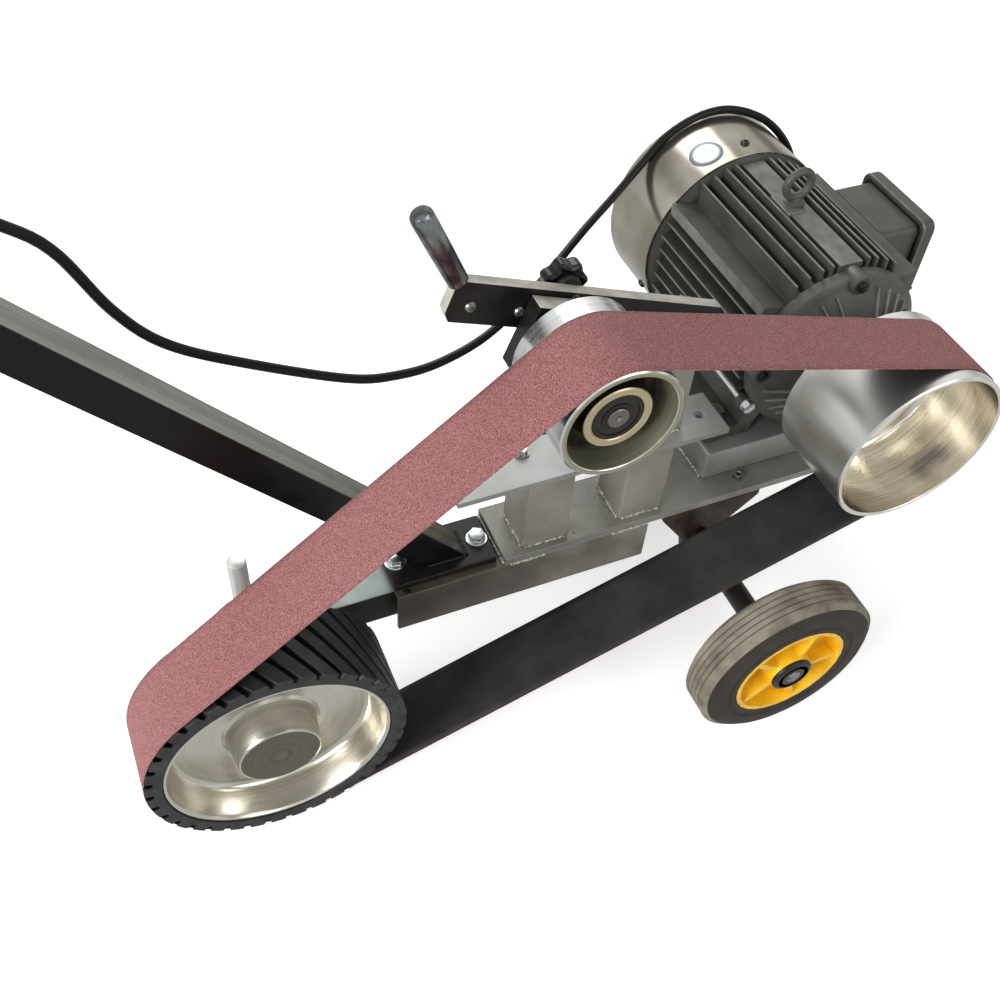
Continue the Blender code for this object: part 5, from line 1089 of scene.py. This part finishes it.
def socket_screw(name, place, radius, height, material, axis=UPWARDS, *replaced):
    """Cap screw head with a hexagon socket."""
    side = [(0, 0), (radius, 0), (radius, height - 0.6 * MM), (radius - 0.7 * MM, height),
            (radius * 0.56, height),
            (radius * 0.48, height - 0.5 * MM), (radius * 0.48, height * 0.45), (0, height * 0.45)]
    head = turned(name, side, place, axis, material, 48)
    keep(head, "root", "zinc_steel", *replaced)
    # The socket's depth is painted shade: a flat black hexagon just above the floor of the round recess.
    socket_shade_hexagon = prism(name + "_socket", 6, radius * 0.5, height * 0.42, height * 0.47, place, axis, seal_rubber_and_socket_shade, 0)
    keep(socket_shade_hexagon, "root", "zinc_steel")


# Dulled zinc: mottled grey.
hardware = new_material("dull_zinc_screws", "#8d8f8c", 0.34, 0.95)
vary(hardware, noise(hardware, 160, 4), ("#6f716e", "#a3a5a2"))
socket_screw("upper_plate_cap_screw", at(307, 163, 143.1), 6.5 * MM, 8 * MM, zinc, UPWARDS,
             "upper_plate_screw")
keep(turned("upper_plate_screw_washer", in_mm([(6.7, 0.1), (9, 0.1), (9, 1.6), (6.7, 1.6)]),
            at(307, 163, 142.8), UPWARDS, hardware, 48), "root", "zinc_steel")
socket_screw("base_plate_cap_screw", at(569, 132, 39.7), 5.5 * MM, 6.5 * MM, hardware)
socket_screw("channel_set_screw", at(169, 119, 29.3), 4.2 * MM, 1.2 * MM, black_oxide)


# ---------------------------------------------------------------- Boom
# Square steel tube welded to a flange and painted gloss black, with a small pad beneath it. Two zinc-plated
# flange bolts hold it on the channel.
# Gloss enamel: black, with fairly sharp reflections.
gloss_black = new_material("gloss_black_enamel", "#0b0b0a", 0.24, 0.0, Specular_IOR_Level=0.22)
bump(gloss_black, noise(gloss_black, 500, 3), 0.00006)
roughen(gloss_black, noise(gloss_black, 40, 4), 0.2, 0.42)
# Faces that look up are painted paler, and more so higher up the boom. This is dust and polishing scuffs,
# together with a painted sheen where the top face catches the light.
tree = gloss_black.node_tree
facing = node(tree, "NewGeometry")
upward = node(tree, "SeparateXYZ", {"Vector": facing.outputs["True Normal"]})
faces_up_share = node(tree, "MapRange", {"Value": upward.outputs["Z"], "From Min": 0.3, "From Max": 0.6})
streaks = noise(gloss_black, 75, 2, (0.01, 1, 0.01))
height = node(tree, "SeparateXYZ", {"Vector": node(tree, "TexCoord").outputs["Object"]})
higher_up_share = node(tree, "MapRange",
              {"Value": height.outputs["Z"], "From Min": 0.16, "From Max": 0.46, "To Min": 0.25})
up_and_high = node(tree, "Math", {0: faces_up_share.outputs[0], 1: higher_up_share.outputs[0]}, operation="MULTIPLY")
dust_and_sheen = node(tree, "Math", {0: up_and_high.outputs[0], 1: streaks}, operation="MULTIPLY")
dust_and_sheen_tint = node(tree, "ValToRGB", {"Fac": dust_and_sheen.outputs[0]})
for stop, place, colour in zip(range(2), (0.05, 0.6), ("#0b0b0a", "#a8a89d")):
    dust_and_sheen_tint.color_ramp.elements[stop].position = place
    dust_and_sheen_tint.color_ramp.elements[stop].color = linear(colour)
tree.links.new(dust_and_sheen_tint.outputs[0], tree.nodes["Principled BSDF"].inputs["Base Color"])
# Satin enamel: black, with a soft sheen.
satin_black = new_material("satin_black_enamel", "#121110", 0.4, 0.0, Specular_IOR_Level=0.3)
vary(satin_black, noise(satin_black, 40, 4), ("#0e0d0c", "#1c1a18"))
bump(satin_black, noise(satin_black, 500, 3), 0.00008)

refined("boom_tube_drawn", "boom_tube", "root", "black_paint", gloss_black, 2.4 * MM, 4)
refined("boom_flange_plate", "boom_flange", "root", "black_paint", satin_black, 1.0 * MM)
weld("boom_foot_weld_left", up_the_boom(16, -18, 136), up_the_boom(16, -18, 171), 2.2 * MM, 0.0, satin_black)
weld("boom_foot_weld_right", at(241, 136, 38.4), at(241, 171, 38.4), 2.2 * MM, 0.0, satin_black)
for side in (135.6, 171.4):
    weld("boom_side_weld_%d" % side, at(197, side, 38.6), at(239, side, 38.6), 1.8 * MM, 0.0, satin_black)
for name, x in (("left", 168), ("right", 259)):
    seat = at(x, 153.5, 38.1)
    hex_head("flange_bolt_%s_head" % name, 15.6 * MM, 8.6 * MM, seat, UPWARDS, zinc, "root", "zinc_steel",
             10.6 * MM,
             0.35 if name == "left" else 0.1)
    washer = in_mm([(5.4, -0.2), (11.4, -0.2), (11.4, 0.9), (5.4, 0.9)])
    keep(turned("flange_bolt_%s_washer" % name, washer, seat, UPWARDS, zinc, 48), "root", "zinc_steel",
         "flange_bolt_" + name)


# ---------------------------------------------------------------- Tension lever
# Flat steel bar painted black on its sides, with bare sawn edges. It turns on a bolt through an upright
# bracket, and a turned gunmetal handle stands on its cut corner.
LEVER_PIVOT, LEVER_ANGLE, LEVER_REACH = (455, 300.5), radians(20.15), 262
# Sawn steel edge: pale, dry and slightly rough.
sawn_steel = new_material("sawn_bar_edge", "#bcb8ab", 0.38, 0.25)
vary(sawn_steel, noise(sawn_steel, 60, 5), ("#aaa698", "#cbc8be"))
bump(sawn_steel, noise(sawn_steel, 500, 3), 0.00012)


def on_lever(along, across, y):
    """Point measured from the pivot along the lever and square to it, in millimetres."""
    c, s = cos(LEVER_ANGLE), sin(LEVER_ANGLE)
    return at(LEVER_PIVOT[0] - along * c + across * s, y, LEVER_PIVOT[1] + along * s + across * c)


bar = refined("tension_lever_bar", "tension_lever", "tension_lever", "black_paint", [satin_black, sawn_steel],
              0.7 * MM)
paint_faces(bar, 1, lambda c, n: abs(n.y) < 0.5 and (c - on_lever(0, 0, c.y / MM)).xz.length > 12 * MM)
# Gunmetal plate: dark grey and mirror-like, with blotches.
gunmetal = new_material("gunmetal_plate", "#6d7173", 0.16, 1.0)
vary(gunmetal, noise(gunmetal, 70, 4), ("#55595b", "#949a9b"))
roughen(gunmetal, noise(gunmetal, 90, 4), 0.1, 0.28)
lean = Vector((-cos(LEVER_ANGLE + pi / 4), 0, sin(LEVER_ANGLE + pi / 4)))
stem = in_mm([(0, 0), (8.6, 0), (9.2, 0.8), (9.8, 40), (10, 73), (9.5, 76.4), (7.8, 78.6), (0, 79)])
handle_foot = on_lever(LEVER_REACH - 4 + 0.22, 20 - 4 + 0.22, 132)
keep(turned("lever_handle_turned", stem, handle_foot, lean, gunmetal, 64), "tension_lever", "polished_steel",
     "lever_handle")
for i, (x, z, across) in enumerate(((227, 381, 10), (272, 364, 10), (277, 353, 7))):
    place = at(x, 126.2, z)
    dome_head = in_mm([(0, 0), (across * 0.5, 0), (across * 0.5, 1.2), (across * 0.4, 2.6),
                       (across * 0.22, 3.2), (across * 0.2, 1.6), (0, 1.6)])
    keep(turned("lever_screw_%d" % i, dome_head, place, TO_FRONT, hardware, 40), "tension_lever",
         "zinc_steel")
refined("lever_bracket_plate", "lever_bracket", "root", "grey_paint", lifted_tube_primer, 1 * MM)
refined("lever_pivot_bolt_turned", "lever_pivot_bolt", "root", "zinc_steel", hardware, 0.5 * MM)


# ---------------------------------------------------------------- Tracking block and knob
# A steel block that carries the tension wheel's axle and tilts against the lever. A lobed phenolic knob
# behind the lever drives the tracking screw.
block_piece = refined("tracking_block_milled", "tracking_block", "tracking_block", "black_paint",
                      [satin_black, sawn_steel], 0.8 * MM)
paint_faces(block_piece, 1, lambda c, n: abs(n.y) < 0.5 and n.z > 0.6)
# Phenolic moulding: deep glossy black.
phenolic = new_material("phenolic_moulding", "#060707", 0.14, Specular_IOR_Level=0.35)
roughen(phenolic, noise(phenolic, 120, 3), 0.1, 0.24)
knob_low, knob_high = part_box("tracking_knob")
KNOB_CENTRE = ((knob_low[0] + knob_high[0]) / 2, (knob_low[2] + knob_high[2]) / 2)
KNOB_FRONT, LOBES = DATUM.y + 144 * MM, 7
bm = bmesh.new()
lobed = bmesh.ops.create_circle(bm, segments=LOBES * 18, radius=22 * MM, cap_ends=True)["verts"]
for v in lobed:
    dip = 2.2 * MM * (1 - cos(LOBES * atan2(v.co.y, v.co.x))) ** 0.8
    v.co *= 0.86 * (22 * MM - dip) / (22 * MM)
face = list(bm.faces)
# Each step lifts the outline and scales it: bevel, side, bevel, rim and the shallow recess at the back.
for lift, scale in ((1.6, 1.12), (2.4, 1.04), (9.0, 1.0), (2.4, 0.96), (1.6, 0.9), (0.0, 0.72), (-1.4, 0.93)):
    face = [g for g in bmesh.ops.extrude_face_region(bm, geom=face)["geom"]
            if isinstance(g, bmesh.types.BMFace)]
    moved = list({v for f in face for v in f.verts})
    bmesh.ops.scale(bm, vec=(scale, scale, 1), verts=moved)
    bmesh.ops.translate(bm, vec=(0, 0, lift * MM), verts=moved)
bmesh.ops.rotate(bm, matrix=Matrix.Rotation(-pi / 2, 3, "X"), verts=bm.verts)
bmesh.ops.translate(bm, vec=(KNOB_CENTRE[0], KNOB_FRONT, KNOB_CENTRE[1]), verts=bm.verts)
bmesh.ops.recalc_face_normals(bm, faces=bm.faces)
keep(from_bmesh(bm, "tracking_knob_moulding", phenolic, 40), "tracking_knob", "black_plastic",
     "tracking_knob")
boss = [(0, 138.3), (11, 138.3), (12, 140), (12, 144.2), (0, 144.2)]
knob_axis = (KNOB_CENTRE[0], DATUM.y, KNOB_CENTRE[1])
keep(turned("tracking_knob_neck", in_mm(boss), knob_axis, TO_REAR, black_oxide, 48),
     "tracking_knob", "zinc_steel")
insert = [(0, 158.6), (5, 158.6), (5.6, 158), (5.6, 159.4), (4.6, 160), (0, 160)]
keep(turned("tracking_screw", in_mm([(4, 126), (4, 138), (0, 138), (0, 125.6), (3.4, 125.6)]),
            knob_axis, TO_REAR, hardware, 32), "tracking_knob", "zinc_steel")
keep(turned("tracking_knob_insert", in_mm(insert), knob_axis, TO_REAR, hardware, 40),
     "tracking_knob", "zinc_steel")


# ---------------------------------------------------------------- Contact arm
# Bar under the channel with a round nose that carries the contact drum's axle. A bright dowel pin stands
# in its top, and its top face is left bare.
# Ground steel: greenish grey and cloudy.
arm_steel = new_material("ground_arm_steel", "#828c87", 0.36, 0.5)
vary(arm_steel, noise(arm_steel, 24, 5), ("#727c78", "#939d99"))
bump(arm_steel, noise(arm_steel, 400, 3), 0.0001)
arm = refined("contact_arm_milled", "contact_arm", "root", "grey_paint", [arm_steel, satin_black], 1.2 * MM,
              3)
paint_faces(arm, 1, lambda c, n: abs(n.y) > 0.5)
# Bright dowel steel: near white, with a soft gleam.
dowel_steel = new_material("bright_dowel_steel", "#e4e6e4", 0.36, 0.75)
roughen(dowel_steel, noise(dowel_steel, 90, 3), 0.3, 0.42)
pin_low, pin_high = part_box("arm_pin")
pin_place = Vector(((pin_low[0] + pin_high[0]) / 2, (pin_low[1] + pin_high[1]) / 2, pin_low[2]))
pin_length = pin_high[2] - pin_low[2]
pin = [(0, 0), (9.5 * MM, 0), (9.5 * MM, pin_length - 2 * MM), (9.1 * MM, pin_length - 0.8 * MM),
       (7.9 * MM, pin_length), (0, pin_length)]
keep(turned("arm_pin_turned", pin, pin_place, UPWARDS, dowel_steel, 64), "root", "zinc_steel", "arm_pin")


# ---------------------------------------------------------------- Cart
# Two folded brackets under the base plate hold a fixed axle. On each end turns a yellow plastic rim with
# pockets between its spokes, a ribbed solid tyre and a black cap over the axle's end.
# Black paint with rust coming through: dark brown blotches.
rusty_black = new_material("rust_stained_paint", "#2c221a", 0.5, Specular_IOR_Level=0.3)
vary(rusty_black, noise(rusty_black, 35, 5), ("#1b1511", "#43342a"))
bump(rusty_black, noise(rusty_black, 500, 3), 0.00012)
for name in ("axle_bracket_front", "axle_bracket_rear"):
    refined(name + "_folded", name, "root", "black_paint", rusty_black, 0.8 * MM)
refined("cart_axle_turned", "cart_axle", "root", "black_paint", black_oxide, 0.6 * MM)
# Solid tyre rubber: brown black and matt.
tyre_rubber = new_material("solid_tyre_rubber", "#3b3129", 0.7, IOR=1.5)
vary(tyre_rubber, noise(tyre_rubber, 30, 5), ("#1f1812", "#352b22"))
bump(tyre_rubber, noise(tyre_rubber, 600, 3), 0.00025)
# Tread that has picked up dust: grey brown and dry.
tread_dust = new_material("dusty_tread", "#7c7364", 0.82)
vary(tread_dust, noise(tread_dust, 40, 5), ("#675e50", "#8d8575"))
bump(tread_dust, noise(tread_dust, 600, 3), 0.00025)
# Moulded polypropylene: strong yellow, with a waxy gleam.
yellow = new_material("yellow_polypropylene", "#f0bb18", 0.3, IOR=1.5)
vary(yellow, noise(yellow, 40, 4), ("#e8b010", "#f8ca2c"))
bump(yellow, noise(yellow, 500, 2), 0.00008)
# Moulded cap: black, with a soft gleam.
cap_black = new_material("moulded_black_cap", "#161615", 0.35)
roughen(cap_black, noise(cap_black, 100, 3), 0.28, 0.5)
for side, outer in (("front", -1), ("rear", 1)):
    body = "cart_wheel_" + side
    low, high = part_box("cart_tyre_" + side)
    hub_middle = ((low[0] + high[0]) / 2, (low[1] + high[1]) / 2, (low[2] + high[2]) / 2)
    rim_low, rim_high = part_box("cart_rim_" + side)
    top = (high[2] - low[2]) / 2 / MM
    half = (high[1] - low[1]) / 2 / MM
    wall = [(64.3, -half + 1), (70, -half + 0.6), (71, -half + 1.6), (74, -half + 1.6), (75, -half + 0.3),
            (84, -half), (90, -half + 1.2),
            (top - 6, -half + 5), (top - 1.6, -half + 8.6)]
    tread_line = []
    for rib in range(5):
        start_y = -half + 9 + rib * 6.55
        tread_line += [(top - 0.8, start_y), (top - 0.2, start_y + 0.5), (top - 0.2, start_y + 4.8),
                       (top - 0.8, start_y + 5.3),
                       (top - 3.2, start_y + 5.5), (top - 3.2, start_y + 6.3)]
    tread_line = tread_line[:-2]
    profile = wall + tread_line + [(r, -y) for r, y in reversed(wall)]
    tyre = turned("cart_tyre_moulding_" + side, in_mm(profile), hub_middle, TO_REAR, tyre_rubber, 144)
    tyre.data.materials.append(tread_dust)
    paint_faces(tyre, 1, lambda c, n: radius_from((hub_middle[0], hub_middle[2]), c) > (top - 5.5) * MM)
    keep(tyre, body, "tyre_rubber", "cart_tyre_" + side)
    rim = refined("cart_rim_moulding_" + side, "cart_rim_" + side, body, "yellow_plastic",
                  [yellow, cap_black], 0.9 * MM, 2, 40)
    face_y = rim_low[1] if outer < 0 else rim_high[1]
    for face in rim.data.polygons:
        reach = max(radius_from((hub_middle[0], hub_middle[2]), rim.data.vertices[v].co)
                    for v in face.vertices)
        if reach < 23.4 * MM and abs(face.center.y - face_y) < 9 * MM:
            face.material_index = 1
    cap_place = (hub_middle[0], face_y - outer * 0.4 * MM, hub_middle[2])
    ring_line = in_mm([(12, 0), (12.6, 0), (13, 0.4), (17.6, 0.4), (18, 0), (18, -1), (12, -1)])
    keep(turned("cart_cap_ring_" + side, ring_line, cap_place, (0, outer, 0), cap_black, 64), body,
         "black_plastic")
    stub_end = [(0, -1), (8, -1), (8, 0.2), (7.4, 1.1), (5.6, 2), (3, 2.5), (0, 2.7)]
    keep(turned("cart_cap_plug_" + side, in_mm(stub_end), cap_place, (0, outer, 0), hardware, 40),
         body, "black_plastic")


# ---------------------------------------------------------------- Handlebar
# Round tube across the boom's end, painted black, with a ribbed rubber grip pushed over each side.
refined("handlebar_tube", "handlebar", "root", "black_paint", satin_black, 0.4 * MM)
# Moulded rubber: matt black.
grip_rubber = new_material("moulded_grip_rubber", "#161616", 0.6, IOR=1.5)
bump(grip_rubber, noise(grip_rubber, 700, 3), 0.00015)
for name, outer in (("grip_front", -1), ("grip_rear", 1)):
    low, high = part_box(name)
    far_y = low[1] if outer < 0 else high[1]
    inward_y = high[1] if outer < 0 else low[1]
    length = abs(inward_y - far_y)
    crown = (high[0] - low[0]) / 2
    line = [(0, 0), (crown - 4 * MM, 0), (crown - 1.2 * MM, 1.2 * MM), (crown, 4 * MM), (crown, 7 * MM),
            (crown - 1 * MM, 8.5 * MM)]
    ribs_of_grip = int((length - 22 * MM) / (5 * MM))
    for i in range(ribs_of_grip):
        y = 10 * MM + i * 5 * MM
        line += [(crown - 1.6 * MM, y), (crown - 0.5 * MM, y + 0.8 * MM), (crown - 0.4 * MM, y + 3 * MM),
                 (crown - 1.6 * MM, y + 3.8 * MM)]
    line += [(crown - 1.5 * MM, length - 9 * MM), (crown, length - 7 * MM), (crown, length - 1 * MM),
             (crown - 1 * MM, length),
             (crown - 3.6 * MM, length), (crown - 3.6 * MM, 5 * MM), (0, 5 * MM)]
    keep(turned(name + "_moulding", line, ((low[0] + high[0]) / 2, far_y, (low[2] + high[2]) / 2),
                (0, -outer, 0), grip_rubber, 72),
         "root", "grip_rubber", name)


# ---------------------------------------------------------------- Switch box
# Moulded plastic box on the boom with a screwed lid, a green start button and a red stop button in raised
# collars. It carries no lettering.
# Moulded plastic: near black and finely grained.
switch_plastic = new_material("moulded_switch_plastic", "#1d1e1f", 0.42)
roughen(switch_plastic, noise(switch_plastic, 120, 3), 0.34, 0.5)
bump(switch_plastic, noise(switch_plastic, 900, 2), 0.00008)
refined("switch_box_moulding", "switch_box", "root", "black_plastic", switch_plastic, 1.2 * MM, 3)
SWITCH_MIDDLE, SWITCH_SEAT, SWITCH_HEIGHT = 780, 18.3, 48
for name, offset, colour, slot in (("start_button", 19, "#2f8f3c", "green_plastic"),
                                   ("stop_button", -19, "#c22a22", "red_plastic")):
    # Button plastic: clean and glossy.
    button_plastic = new_material(name + "_plastic", colour, 0.28)
    roughen(button_plastic, noise(button_plastic, 150, 3), 0.22, 0.36)
    place = up_the_boom(SWITCH_MIDDLE + offset, SWITCH_SEAT + SWITCH_HEIGHT)
    top = 5 * MM
    key = [(0, top - 0.5 * MM), (6 * MM, top - 0.4 * MM), (9.6 * MM, top), (10.6 * MM, top - 0.6 * MM),
           (11 * MM, top - 1.6 * MM),
           (11 * MM, -7 * MM), (0, -7 * MM)]
    keep(turned(name + "_key", key, place, OFF_BOOM, button_plastic, 56), name, slot, name)
    collar_line = in_mm([(11.6, -0.5), (15, -0.5), (15, 1), (14, 2.4), (12.4, 2.4), (11.6, 1.8)])
    keep(turned(name + "_collar", collar_line, place, OFF_BOOM, switch_plastic, 64), "root", "black_plastic")
for along in (-41, 41):
    for across in (-24, 24):
        place = up_the_boom(SWITCH_MIDDLE + along, SWITCH_SEAT + SWITCH_HEIGHT, 153.5 + across)
        screw = in_mm([(0, -1), (3.4, -1), (3.4, 0.3), (2.6, 1), (1.4, 1.1), (1.3, 0.2), (0, 0.2)])
        keep(turned("switch_lid_screw", screw, place, OFF_BOOM, hardware, 28), "root", "zinc_steel")
seam = [up_the_boom(SWITCH_MIDDLE + a * 48.05, SWITCH_SEAT + 36, 153.5 + b * 31.05) for a,
        b in ((-1, -1), (1, -1), (1, 1), (-1, 1))]
keep(wires("switch_lid_seam", [seam], 0.5 * MM, seal_rubber_and_socket_shade, 1, closed=True), "root", "black_plastic")
